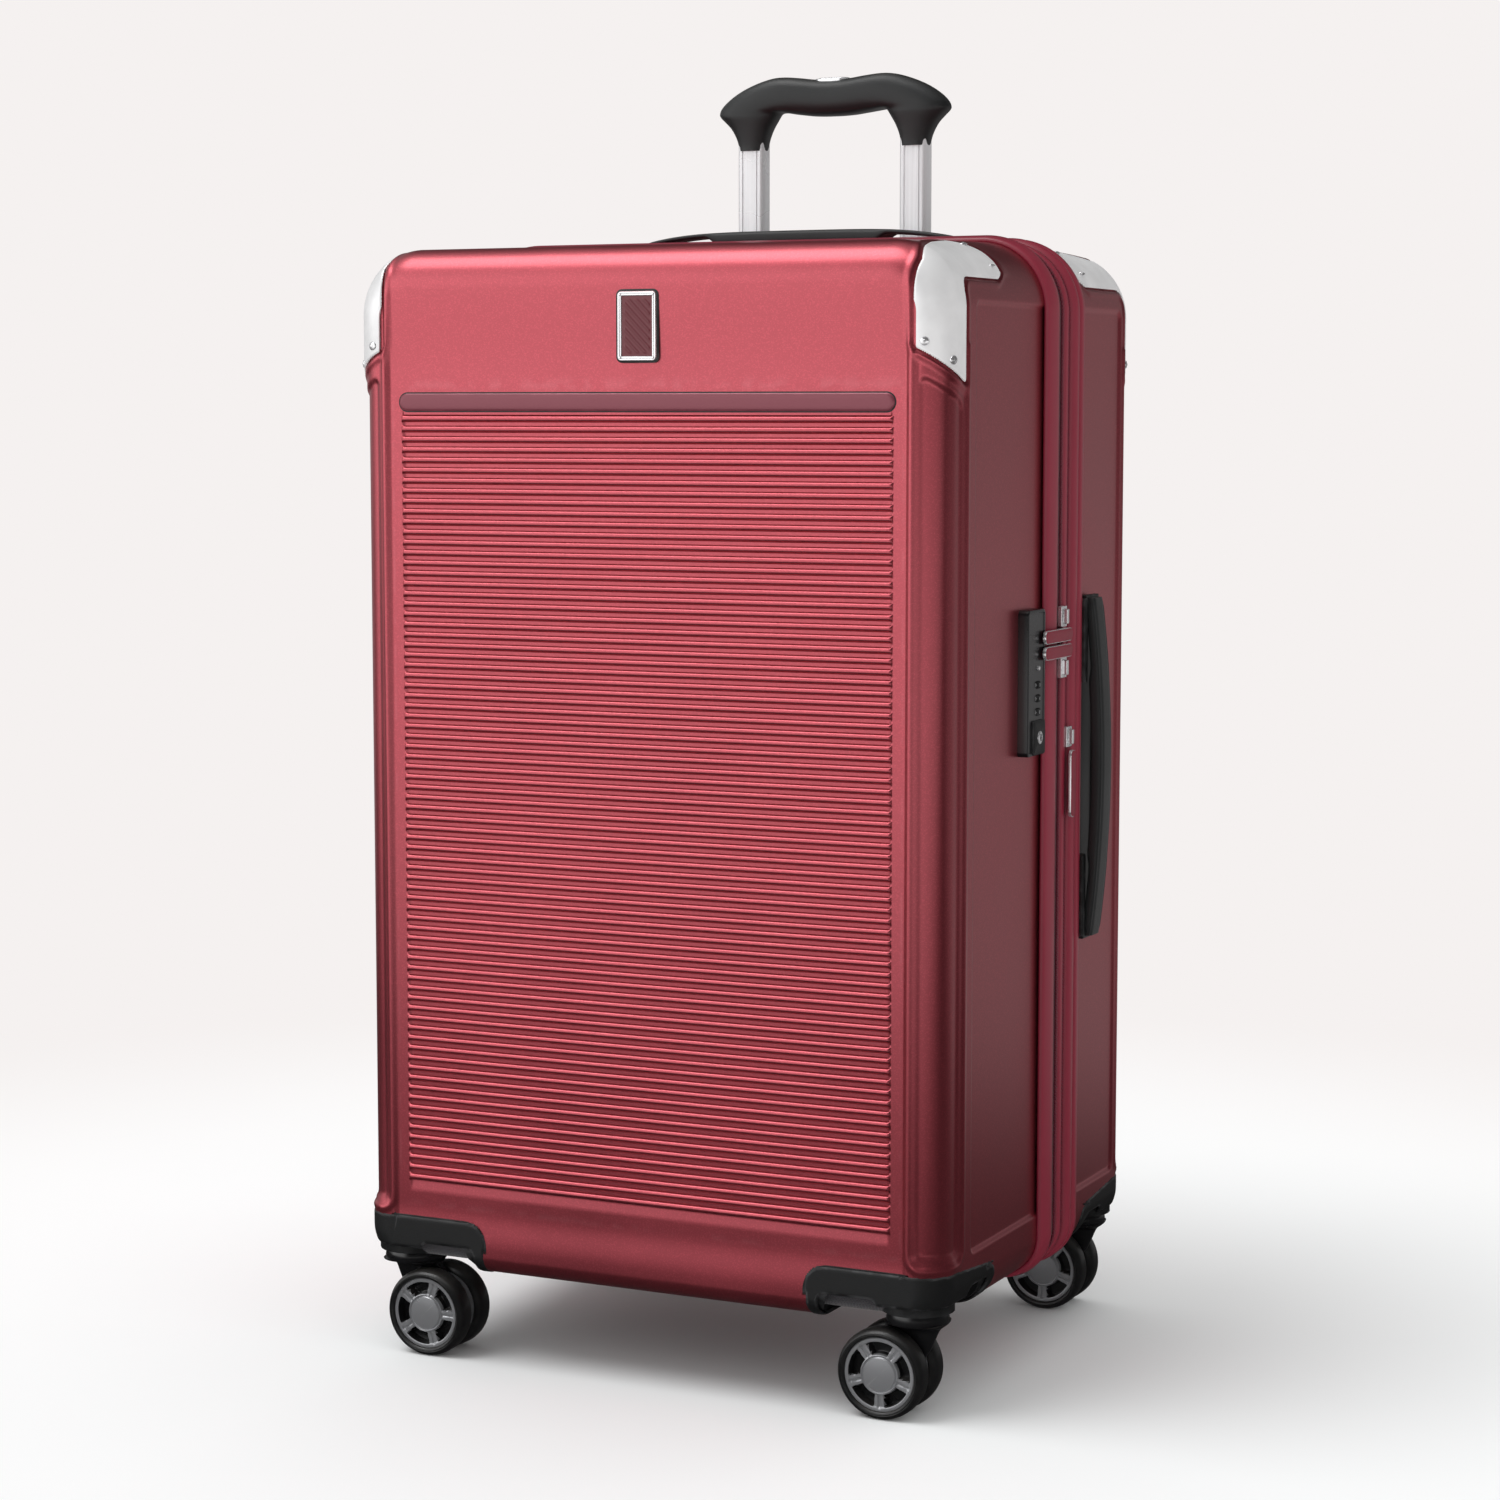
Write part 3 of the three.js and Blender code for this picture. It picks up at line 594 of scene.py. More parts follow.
def teeth(y, out, pitch, offset, size, skip=None):
    """Zip teeth round the rim: one small closed form of 18 faces, repeated at a pitch."""
    s = np.linspace(0, 8, 6000)
    x, z = outline(s, -out + 0 * s, -out + 0 * s, -out + 0 * s)
    run = np.concatenate([[0], np.cumsum(np.hypot(np.diff(x), np.diff(z)))])
    count = int(run[-1] / pitch)
    stops = (np.arange(count) + offset) * run[-1] / count
    cx, cz = np.interp(stops, run, x), np.interp(stops, run, z)
    ahead = stops + 0.5
    tx, tz = np.interp(ahead, run, x, period=run[-1]) - cx, np.interp(ahead, run, z, period=run[-1]) - cz
    length = np.hypot(tx, tz)
    tangent = np.stack([tx / length, 0 * tx, tz / length], -1)
    if skip is not None:
        keep = ~skip(cx, cz)
        cx, cz, tangent = cx[keep], cz[keep], tangent[keep]
    outward = np.stack([tangent[:, 2], 0 * cx, -tangent[:, 0]], -1)
    turn = np.linspace(0, 2 * math.pi, 6, endpoint=False)
    across = np.array([-1, -0.8, 0.8, 1.0])
    radius = np.array([0.0, 1.0, 1.0, 0.0])
    shape = np.stack(np.broadcast_arrays(
        radius[:, None] * np.cos(turn), across[:, None] + 0 * turn, radius[:, None] * np.sin(turn)), -1)
    local = shape.reshape(-1, 3) * np.array(size) / 2
    centre = np.stack([cx, np.full_like(cx, y), cz], -1)
    points = (centre[:, None] + local[None, :, 0:1] * tangent[:, None]
              + local[None, :, 1:2] * np.array([0, 1.0, 0]) + local[None, :, 2:3] * outward[:, None])
    quads = grid_faces(4, 6, wrap_columns=True)
    all_quads = (np.arange(len(cx))[:, None, None] * 24 + quads[None]).reshape(-1, 4)
    return points.reshape(-1, 3), all_quads


# ---------------------------------------------------------------- finishes
def add(tree, kind, settings=None, **inputs):
    """A node with its inputs set by name; a value that is a socket is linked."""
    node = tree.nodes.new(kind)
    for key, value in (settings or {}).items():
        setattr(node, key, value)
    for key, value in inputs.items():
        name = key.replace("_", " ")
        socket = node.inputs[name]
        if isinstance(value, bpy.types.NodeSocket):
            tree.links.new(value, socket)
        else:
            socket.default_value = value
    return node


def maths(tree, operation, first, second=0.0):
    """One sum of two numbers or sockets."""
    node = tree.nodes.new("ShaderNodeMath")
    node.operation = operation
    for socket, value in zip(node.inputs, (first, second)):
        if isinstance(value, bpy.types.NodeSocket):
            tree.links.new(value, socket)
        else:
            socket.default_value = value
    return node.outputs[0]


def ranged(tree, value, low, high, to_low=0.0, to_high=1.0):
    """A value carried smoothly from one range to another."""
    node = add(tree, "ShaderNodeMapRange", {"interpolation_type": "SMOOTHSTEP"}, Value=value)
    node.inputs["From Min"].default_value = low
    node.inputs["From Max"].default_value = high
    node.inputs["To Min"].default_value = to_low
    node.inputs["To Max"].default_value = to_high
    return node.outputs["Result"]


def mixed(tree, factor, first, second):
    """Two colours mixed by a factor."""
    node = tree.nodes.new("ShaderNodeMix")
    node.data_type = "RGBA"
    for socket, value in ((node.inputs[0], factor), (node.inputs[6], first), (node.inputs[7], second)):
        if isinstance(value, bpy.types.NodeSocket):
            tree.links.new(value, socket)
        else:
            socket.default_value = value
    return node.outputs[2]


def new_effect(name, inputs, outputs):
    """A node group with named sockets, and its tree, group input and group output."""
    tree = bpy.data.node_groups.new(name, "ShaderNodeTree")
    for label, kind, default in inputs:
        socket = tree.interface.new_socket(label, in_out="INPUT", socket_type=kind)
        if default is not None:
            socket.default_value = default
    for label, kind in outputs:
        tree.interface.new_socket(label, in_out="OUTPUT", socket_type=kind)
    return tree, tree.nodes.new("NodeGroupInput").outputs, tree.nodes.new("NodeGroupOutput").inputs


NUMBER, VECTOR = "NodeSocketFloat", "NodeSocketVector"


def make_grain():
    """Fine pebbled grain: cell distances over soft noise, and a random tone for each cell."""
    tree, given, out = new_effect(
        "surface_grain", [("Vector", VECTOR, None), ("Scale", NUMBER, 900.0)], [("Height", NUMBER), ("Fleck", NUMBER)]
    )
    noise = add(tree, "ShaderNodeTexNoise", Vector=given["Vector"], Scale=given["Scale"], Detail=3.0)
    cells = add(tree, "ShaderNodeTexVoronoi", Vector=given["Vector"], Scale=given["Scale"])
    parted = tree.nodes.new("ShaderNodeSeparateColor")
    tree.links.new(cells.outputs["Color"], parted.inputs[0])
    height = maths(tree, "ADD", maths(tree, "MULTIPLY", cells.outputs["Distance"], 0.5), noise.outputs["Fac"])
    tree.links.new(height, out["Height"])
    tree.links.new(parted.outputs[0], out["Fleck"])
    return tree


def make_edge_wear():
    """Where convex edges are rubbed: the surface's pointiness broken up by noise."""
    tree, given, out = new_effect(
        "edge_wear", [("Vector", VECTOR, None), ("Amount", NUMBER, 0.5)], [("Mask", NUMBER)]
    )
    geometry = tree.nodes.new("ShaderNodeNewGeometry")
    edge = ranged(tree, geometry.outputs["Pointiness"], 0.51, 0.60)
    noise = add(tree, "ShaderNodeTexNoise", Vector=given["Vector"], Scale=90.0, Detail=4.0)
    patchy = ranged(tree, noise.outputs["Fac"], 0.42, 0.62)
    tree.links.new(maths(tree, "MULTIPLY", maths(tree, "MULTIPLY", edge, patchy), given["Amount"]), out["Mask"])
    return tree


def make_dust():
    """Fine dust that settles on what faces up, thicker in patches."""
    tree, given, out = new_effect(
        "settled_dust", [("Vector", VECTOR, None), ("Amount", NUMBER, 0.3)], [("Mask", NUMBER)]
    )
    geometry = tree.nodes.new("ShaderNodeNewGeometry")
    parted = tree.nodes.new("ShaderNodeSeparateXYZ")
    tree.links.new(geometry.outputs["Normal"], parted.inputs[0])
    upward = ranged(tree, parted.outputs[2], 0.3, 1.0)
    noise = add(tree, "ShaderNodeTexNoise", Vector=given["Vector"], Scale=35.0, Detail=5.0)
    patchy = ranged(tree, noise.outputs["Fac"], 0.35, 0.7, 0.15, 1.0)
    tree.links.new(maths(tree, "MULTIPLY", maths(tree, "MULTIPLY", upward, patchy), given["Amount"]), out["Mask"])
    return tree


def make_weave():
    """A plain weave: rounded threads along and across that take turns on top like a chessboard."""
    tree, given, out = new_effect(
        "plain_weave", [("Vector", VECTOR, None), ("Threads", NUMBER, 1500.0)], [("Height", NUMBER), ("Tone", NUMBER)]
    )
    parted = tree.nodes.new("ShaderNodeSeparateXYZ")
    tree.links.new(given["Vector"], parted.inputs[0])
    along = maths(tree, "MULTIPLY", parted.outputs[0], given["Threads"])
    across = maths(tree, "MULTIPLY", parted.outputs[1], given["Threads"])
    waves = [maths(tree, "SINE", maths(tree, "MULTIPLY", turn, math.pi)) for turn in (along, across)]
    over = maths(tree, "GREATER_THAN", maths(tree, "MULTIPLY", waves[0], waves[1]), 0.0)
    under = maths(tree, "SUBTRACT", 1.0, over)
    crowns = [maths(tree, "ABSOLUTE", wave) for wave in waves]
    height = maths(tree, "ADD", maths(tree, "MULTIPLY", crowns[0], over), maths(tree, "MULTIPLY", crowns[1], under))
    noise = add(tree, "ShaderNodeTexNoise", Vector=given["Vector"], Scale=400.0, Detail=2.0)
    tree.links.new(height, out["Height"])
    tree.links.new(maths(tree, "ADD", maths(tree, "MULTIPLY", over, 0.4), noise.outputs["Fac"]), out["Tone"])
    return tree


def make_streaks():
    """Fine streaks left by brushing: noise drawn out along one axis."""
    tree, given, out = new_effect(
        "brushed_streaks",
        [("Vector", VECTOR, None), ("Stretch", VECTOR, (900.0, 900.0, 12.0))],
        [("Height", NUMBER), ("Tone", NUMBER)],
    )
    drawn = tree.nodes.new("ShaderNodeVectorMath")
    drawn.operation = "MULTIPLY"
    tree.links.new(given["Vector"], drawn.inputs[0])
    tree.links.new(given["Stretch"], drawn.inputs[1])
    noise = add(tree, "ShaderNodeTexNoise", Vector=drawn.outputs[0], Scale=1.0, Detail=3.0)
    tree.links.new(noise.outputs["Fac"], out["Height"])
    tree.links.new(ranged(tree, noise.outputs["Fac"], 0.3, 0.7), out["Tone"])
    return tree


EFFECTS = {
    "grain": make_grain(),
    "wear": make_edge_wear(),
    "dust": make_dust(),
    "weave": make_weave(),
    "streaks": make_streaks(),
}


def effect(tree, name, vector, **inputs):
    """One shared effect placed in a finish."""
    node = tree.nodes.new("ShaderNodeGroup")
    node.node_tree = EFFECTS[name]
    tree.links.new(vector, node.inputs["Vector"])
    for label, value in inputs.items():
        node.inputs[label].default_value = value
    return node.outputs


def srgb(red, green, blue):
    """A colour given as 0 to 255 on a display, as linear light."""
    part = np.array([red, green, blue]) / 255
    linear = np.where(part <= 0.04045, part / 12.92, ((part + 0.055) / 1.055) ** 2.4)
    return (*linear.tolist(), 1.0)


def shade(colour, factor):
    """A colour made darker or lighter."""
    return (*[min(1.0, part * factor) for part in colour[:3]], 1.0)


def finish_of(name, colour, contrast=0.12, metallic=0.0, roughness=0.5, roughness_spread=0.08, pattern="grain",
              scale=900.0, bump=0.06, bump_depth=0.0002, coat=0.0, coat_roughness=0.2, sheen=0.0, specular=0.5,
              wear=0.0, wear_colour=None, dust=0.0, flow=False, stretch=None, fleck=0.0, cloud=6.0):
    """A finish: a base colour that varies in soft clouds and flecks, a patterned bump, wear and dust."""
    material = bpy.data.materials.new(name)
    material.use_nodes = True
    tree = material.node_tree
    shader = tree.nodes["Principled BSDF"]
    if flow:
        vector = add(tree, "ShaderNodeAttribute", {"attribute_name": "flow"}).outputs["Vector"]
    else:
        vector = tree.nodes.new("ShaderNodeTexCoord").outputs["Object"]
    clouds = add(tree, "ShaderNodeTexNoise", Vector=vector, Scale=cloud, Detail=4.0).outputs["Fac"]
    tone = ranged(tree, clouds, 0.3, 0.7)
    base = mixed(tree, tone, shade(colour, 1 - contrast), shade(colour, 1 + contrast))
    if pattern == "weave":
        made = effect(tree, "weave", vector, Threads=scale)
        base = mixed(tree, ranged(tree, made["Tone"], 0.3, 1.1), shade(colour, 0.7), base)
    elif pattern == "streaks":
        made = effect(tree, "streaks", vector, Stretch=stretch)
        base = mixed(tree, made["Tone"], shade(colour, 0.88), base)
    else:
        made = effect(tree, "grain", vector, Scale=scale)
        if fleck:
            base = mixed(tree, ranged(tree, made["Fleck"], 0.55, 1.0, 0.0, fleck), base, shade(colour, 2.2))
    rough = ranged(tree, clouds, 0.25, 0.75, roughness - roughness_spread, roughness + roughness_spread)
    if wear:
        mask = effect(tree, "wear", vector, Amount=wear)["Mask"]
        base = mixed(tree, mask, base, wear_colour or shade(colour, 2.5))
    if dust:
        mask = effect(tree, "dust", vector, Amount=dust)["Mask"]
        base = mixed(tree, mask, base, srgb(190, 182, 174))
        rough = maths(tree, "ADD", rough, maths(tree, "MULTIPLY", mask, 0.3))
    bumped = add(tree, "ShaderNodeBump", Height=made["Height"], Strength=bump, Distance=bump_depth)
    tree.links.new(base, shader.inputs["Base Color"])
    tree.links.new(rough, shader.inputs["Roughness"])
    tree.links.new(bumped.outputs["Normal"], shader.inputs["Normal"])
    shader.inputs["Metallic"].default_value = metallic
    shader.inputs["Coat Weight"].default_value = coat
    shader.inputs["Coat Roughness"].default_value = coat_roughness
    shader.inputs["Sheen Weight"].default_value = sheen
    shader.inputs["Specular IOR Level"].default_value = specular
    return material


BURGUNDY = srgb(180, 78, 88)
burgundy_shell = finish_of("burgundy_shell", BURGUNDY, contrast=0.05, metallic=0.93, roughness=0.36,
                           roughness_spread=0.03, scale=1500.0, bump=0.12, bump_depth=0.0001, coat=0.4,
                           coat_roughness=0.2, wear=0.15, wear_colour=srgb(214, 130, 138), dust=0.01, fleck=0.16)
coated_binding = finish_of("coated_binding", srgb(138, 32, 54), contrast=0.08, roughness=0.42, scale=1400.0,
                           bump=0.15, coat=0.15, coat_roughness=0.35, wear=0.2, dust=0.02)
woven_tape = finish_of("woven_tape", srgb(98, 26, 42), contrast=0.1, roughness=0.75, pattern="weave", scale=1100.0,
                       bump=0.6, bump_depth=0.0003, sheen=0.15, flow=True)
zip_coil = finish_of("zip_coil", srgb(112, 40, 56), contrast=0.1, roughness=0.42, scale=2500.0, bump=0.1)
gusset_cloth = finish_of("gusset_cloth", srgb(70, 20, 32), contrast=0.12, roughness=0.85, pattern="weave",
                         scale=900.0, bump=0.7, bump_depth=0.0003, sheen=0.2, flow=True)
lining_cloth = finish_of("lining_cloth", srgb(58, 56, 60), contrast=0.12, roughness=0.85, pattern="weave",
                         scale=900.0, bump=0.6, bump_depth=0.0003, sheen=0.25, flow=True, cloud=14.0)
enamel_bar = finish_of("enamel_bar", srgb(128, 62, 74), contrast=0.06, metallic=0.3, roughness=0.36, scale=1500.0,
                       bump=0.12, coat=0.2, wear=0.3, dust=0.02)
enamel_panel = finish_of("enamel_panel", srgb(96, 22, 34), contrast=0.1, metallic=0.2, roughness=0.3, scale=1600.0,
                         bump=0.12, coat=0.4, coat_roughness=0.12)
polished_chrome = finish_of("polished_chrome", srgb(232, 232, 234), contrast=0.04, metallic=0.82, roughness=0.2,
                            roughness_spread=0.05, scale=2200.0, bump=0.03, wear=0.1)
moulded_black = finish_of("moulded_black", srgb(19, 20, 21), contrast=0.14, roughness=0.46, scale=1500.0, bump=0.35,
                          bump_depth=0.0002, wear=0.35, wear_colour=srgb(92, 92, 94), dust=0.05)
gloss_black = finish_of("gloss_black", srgb(16, 16, 18), contrast=0.12, roughness=0.26, scale=1200.0, bump=0.05,
                        coat=0.3, wear=0.2, dust=0.06)
grip_rubber = finish_of("grip_rubber", srgb(27, 29, 30), contrast=0.1, roughness=0.46, scale=1800.0, bump=0.4,
                        bump_depth=0.0002, wear=0.25, wear_colour=srgb(96, 96, 98), dust=0.05)
strap_rubber = finish_of("strap_rubber", srgb(30, 32, 33), contrast=0.1, roughness=0.5, scale=1500.0, bump=0.4,
                         bump_depth=0.0002, sheen=0.05, wear=0.2, wear_colour=srgb(88, 88, 90), dust=0.05)
drawn_aluminium = finish_of("drawn_aluminium", srgb(240, 241, 243), contrast=0.02, metallic=0.4, roughness=0.3,
                            pattern="streaks", stretch=(900.0, 900.0, 8.0), bump=0.06)
guard_metal = finish_of("guard_metal", srgb(246, 247, 248), contrast=0.03, metallic=0.22, roughness=0.36,
                        pattern="streaks", stretch=(40.0, 40.0, 40.0), bump=0.05, wear=0.15, dust=0.03)
caster_grey = finish_of("caster_grey", srgb(158, 159, 162), contrast=0.08, metallic=0.6, roughness=0.32, scale=1500.0,
                        bump=0.12, wear=0.3, wear_colour=srgb(196, 196, 198), dust=0.04)
tyre_rubber = finish_of("tyre_rubber", srgb(18, 18, 19), contrast=0.16, coat=0.3, roughness=0.36, scale=1600.0, bump=0.35,
                        wear=0.3, wear_colour=srgb(74, 72, 70), dust=0.08)
pull_leather = finish_of("pull_leather", srgb(128, 28, 48), contrast=0.12, roughness=0.48, scale=1200.0, bump=0.5,
                         bump_depth=0.0002, coat=0.1, wear=0.3)
dial_marks = finish_of("dial_marks", srgb(206, 207, 208), contrast=0.05, roughness=0.3, metallic=0.9, scale=2000.0,
                       bump=0.03)


# ---------------------------------------------------------------- the two half shells
HALVES = (("front", FRONT, "front_case"), ("rear", REAR, "rear_case"))


def build_shell(name, half, body):
    """One half: the shell and its ribbed panel, each thickened to a wall."""
    shell = make_piece(
        name + "_shell", shell_sheet(half, cup_hole=half is REAR), body, burgundy_shell,
        [name + "_shell"], sharp=50, facing=(0, half.side, 0),
    )
    thicken(shell, WALL)
    field = make_piece(
        name + "_rib_panel", field_sheet(half), body, burgundy_shell, sharp=60, facing=(0, half.side, 0)
    )
    thicken(field, WALL)


FRONT_ROLL = [(-7, 0.4), (-6.8, 2.0), (-5.2, 3.3), (-1, 4.3), (5, 4.9), (9.5, 4.5), (12.8, 3.4), (14.8, 1.9),
              (15.6, 0.6), (15.2, -1.4), (8, -1.6), (-5, -0.4)]
REAR_ROLL = [(63.5, 0.4), (63.2, 2.2), (61, 3.7), (57, 4.5), (53.5, 4.4), (51.3, 3.1), (50.4, 3.0), (49, 4.3),
             (45, 4.8), (41.5, 4.0), (39.2, 2.4), (38.6, 0.8), (39.2, -1.2), (50, -1.6), (61, -0.6)]
TAPE_FRONT = [(14, 0.4), (23.4, 0.5), (23.4, -0.5), (14, -0.6)]
TAPE_BAND = [(24.6, 0.4), (29, 0.6), (35.4, 0.5), (35.4, -0.5), (29, -0.4), (24.6, -0.6)]
TAPE_REAR = [(36.6, 0.5), (41, 0.5), (41, -0.6), (36.6, -0.6)]
BAND_WELT = [(27.4, 0.4), (27.2, 1.5), (28.2, 2.3), (30.5, 2.6), (33, 2.4), (34.4, 1.5), (34.6, 0.5)]


def build_rim():
    """The rolls on both rims, the woven tapes, the welt on the band and the zip teeth."""
    bands = [
        ("front_zip_roll", curve_through(FRONT_ROLL, 4, True), "front_case", "zip_binding", coated_binding,
         ["front_zip_binding"]),
        ("rear_zip_roll", curve_through(REAR_ROLL, 4, True), "rear_case", "zip_binding", coated_binding,
         ["rear_zip_binding"]),
        ("front_zip_tape", TAPE_FRONT, "front_case", "zip_tape", woven_tape, []),
        ("expansion_tape", TAPE_BAND, "expansion_frame", "zip_tape", woven_tape, ["expansion_band"]),
        ("rear_zip_tape", TAPE_REAR, "rear_case", "zip_tape", woven_tape, []),
        ("expansion_welt", curve_through(BAND_WELT, 4, True), "expansion_frame", "zip_binding", coated_binding, []),
    ]
    for name, section, body, slot, material, replaced in bands:
        sheet, flow = ring_band(section)
        make_piece(name, sheet, body, material, replaced, flow=flow, sharp=50)
    hinge = lambda x, z: (x < -HALF_WIDTH + 20) & (z > 128) & (z < 642)
    rows = [
        ("main_teeth_front", MAIN_ZIP - 0.35, 0.0, "front_case", hinge),
        ("main_teeth_rear", MAIN_ZIP + 0.35, 0.5, "expansion_frame", hinge),
        ("expansion_teeth_front", EXPANSION_ZIP - 0.35, 0.0, "expansion_frame", None),
        ("expansion_teeth_rear", EXPANSION_ZIP + 0.35, 0.5, "rear_case", None),
    ]
    for name, y, offset, body, skip in rows:
        make_piece(name, teeth(y, 1.2, 2.6, offset, (1.2, 2.4, 1.5), skip), body, zip_coil, sharp=40)


LINING_DEPTH = 6.6
GUSSET_FOLD = [(34.6, -1.6), (35.6, -4.4), (38, -7.5), (40, -4.6), (42, -7.8), (43.2, -4.2), (44, -1.8)]


def build_cloth():
    """The gusset between the two zips, the hinge cloth and both linings, each a thin woven sheet."""
    sheet, flow = ring_band(curve_through(GUSSET_FOLD, 4), closed=False)
    gusset = make_piece("expansion_gusset_cloth", sheet, None, gusset_cloth,
                        ["expansion_gusset"], flow=flow, sharp=70)
    thicken(gusset, 0.5)
    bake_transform(gusset)
    spans = np.linspace(3.08, 3.94, 60)
    sheet, flow = ring_band([(12, -2.4), (17, -2.5), (21, -2.5), (27, -2.5), (31, -2.4), (34, -2.2)], closed=False,
                            places=spans)
    hinge = make_piece("hinge_cloth", sheet, None, woven_tape, ["hinge_strip"], flow=flow, sharp=70)
    thicken(hinge, 0.6)
    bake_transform(hinge)
    for name, half, body in HALVES:
        pocket = half if half is FRONT else Half(REAR_RIM, 112.0)
        s = ring_places(14, 8)
        d = np.concatenate([np.linspace(0.03, 1, 12), np.linspace(1.08, 2, 12)])
        ss, dd = np.meshgrid(s, d, indexing="ij")
        wall = pocket.point(ss, dd, -LINING_DEPTH)
        inward = np.linspace(0, 1, 10)[1:]
        edge = wall[:, -1:]
        middle = np.array([0, edge[0, 0, 1], (TOP + BOTTOM) / 2])
        floor = edge + (middle - edge) * inward[None, :, None]
        points = np.concatenate([wall, floor], 1)
        flow = np.stack([points[..., 0] + 0 * points[..., 1], points[..., 2] + points[..., 1], 0 * points[..., 0]], -1)
        lining = make_piece(name + "_lining_cloth", sheet_of(points), body, lining_cloth,
                            [name + "_lining"], flow=flow.reshape(-1, 3) * MM, sharp=60, facing=(0, half.side, 0))
        thicken(lining, 0.6)
        if name == "rear":
            for node in ("handle_tube_left", "handle_tube_right"):
                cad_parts[node].data.materials.clear()
                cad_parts[node].data.materials.append(drawn_aluminium)


# ---------------------------------------------------------------- guards and housings
RIVETS = [(199.9, 1.4, 690.0), (212.0, 13.8, 679.3), (188.2, 90.0, 753.0), (206.0, 92.5, 739.2)]


def surface_place(half, x, q, z):
    """The place on a shell's surface, and its normal, nearest to a point given with its depth behind the face."""
    s, d = np.meshgrid(np.linspace(-0.12, 1.1, 500), np.linspace(0.3, 2, 400), indexing="ij")
    points = half.point(s, d)
    target = np.array([x, half.face - half.side * q, z])
    i, j = np.unravel_index(np.argmin(((points - target) ** 2).sum(-1)), s.shape)
    across, down = points[min(i + 1, 499), j] - points[i - 1, j], points[i, min(j + 1, 399)] - points[i, j - 1]
    normal = np.cross(down, across) * -half.side
    normal /= np.linalg.norm(normal)
    if normal @ (points[i, j] - np.array([0, (half.rim + half.face) / 2, 400])) < 0:
        normal = -normal
    return points[i, j], normal


def guard_lift(inside):
    """The guard's crown: a rounded edge that rises from a hair below the shell to just above it."""
    rise = np.clip(inside / 1.5, 0, 1)
    return -0.1 + 0.8 * np.sqrt(1 - (1 - rise) ** 2)


def build_guards():
    """Metal corner guards with their rivets, at all four upper corners."""
    for name, half, body in HALVES:
        places = spaced((-0.12, 0.0014), (0, 0.0095), (1, 0.003), 1.03)
        depths = spaced((max(0.004, 1 - 84 / half.depth), 1.1 / half.depth), (1, 0.021), 2)
        patch = trimmed_patch(half, guard_region, places, depths, guard_lift)
        rivet_profile = [(0.0, 1.5), (1.5, 1.4), (2.7, 0.9), (3.2, 0.1), (3.2, -1.2), (0.0, -1.2)]
        rivets = []
        for x, q, z in RIVETS:
            centre, normal = surface_place(half, x, q, z)
            rivets.append(lathe(rivet_profile, centre + normal * 0.3, normal, 20))
            rivets.append(lathe([(0.0, 1.72), (0.7, 1.7), (1.0, 1.45), (0.0, 1.2)], centre + normal * 0.3, normal, 12))
        for side in ("left", "right"):
            turn = mirrored if side == "left" else (lambda sheet: sheet)
            sign = -1 if side == "left" else 1
            guard = make_piece("corner_guard_skin_%s_%s" % (name, side), turn(patch), body, guard_metal,
                               ["corner_guard_%s_%s" % (name, side)], sharp=50, facing=(sign, half.side, 0.5))
            thicken(guard, 1.6, 0.3)
            make_piece("guard_rivets_%s_%s" % (name, side), turn(joined(*rivets)), body, polished_chrome)


def housing_lift(inside):
    """The housing's skin stands a little proud, with a rounded edge."""
    rise = np.clip(inside / 1.6, 0, 1)
    return -0.5 + 1.1 * np.sqrt(1 - (1 - rise) ** 2)


BOSS_PROFILE = [(0.0, 93), (22.6, 93), (24.2, 91), (24.4, 84), (24.2, 80), (23.6, 77), (22.4, 74), (20.8, 72.2),
                (18.8, 71.5), (17.0, 72.2), (0.0, 72.6)]


def build_housings():
    """Caster housings at the four lower corners: the bowl, its skin over the shell and the swivel boss."""
    for name, half, body in HALVES:
        places = spaced((5.78, 0.0032), (6, 0.027), (7, 0.0018), 7.024)
        depths = spaced((max(0.004, 1 - 74 / half.depth), 1.3 / half.depth), (1, 0.04), (2, 0.04), 2.76)
        patch = trimmed_patch(half, housing_skin_region, places, depths, housing_lift)
        boss = lathe(BOSS_PROFILE, (CASTER_X, half.side * CASTER_Y, 0), (0, 0, 1), 64)
        for side in ("left", "right"):
            turn = mirrored if side == "left" else (lambda sheet: sheet)
            sign = -1 if side == "left" else 1
            refined("caster_bowl_%s_%s" % (name, side), "caster_housing_%s_%s" % (name, side), body,
                    moulded_black, bevel=0.8, angle=40)
            skin = make_piece("caster_housing_skin_%s_%s" % (name, side), turn(patch), body,
                              moulded_black, sharp=50, facing=(sign, half.side, 0))
            thicken(skin, 2.0, 0.3)
            make_piece("swivel_boss_%s_%s" % (name, side), turn(boss), body, moulded_black)


# ---------------------------------------------------------------- casters and wheels
HALF_WEB = 3.6
FORK_LEVELS = [
    # height, from and to along the trail, half thickness
    (63.6, -20.0, 20.0, 18.5), (62.2, -19.8, 19.6, 16.5), (61.0, -19.6, 18.4, 12.0), (60.2, -20.0, 17.0, 8.0),
    (59.2, -21.0, 16.0, 5.0), (57.0, -24.0, 14.5, HALF_WEB), (50.0, -27.5, 11.5, HALF_WEB),
    (42.0, -29.5, 7.5, HALF_WEB), (34.0, -30.0, 0.5, HALF_WEB), (27.0, -29.8, -6.5, HALF_WEB),
    (22.0, -28.5, -10.0, HALF_WEB), (18.4, -25.0, -13.5, HALF_WEB - 0.8),
]


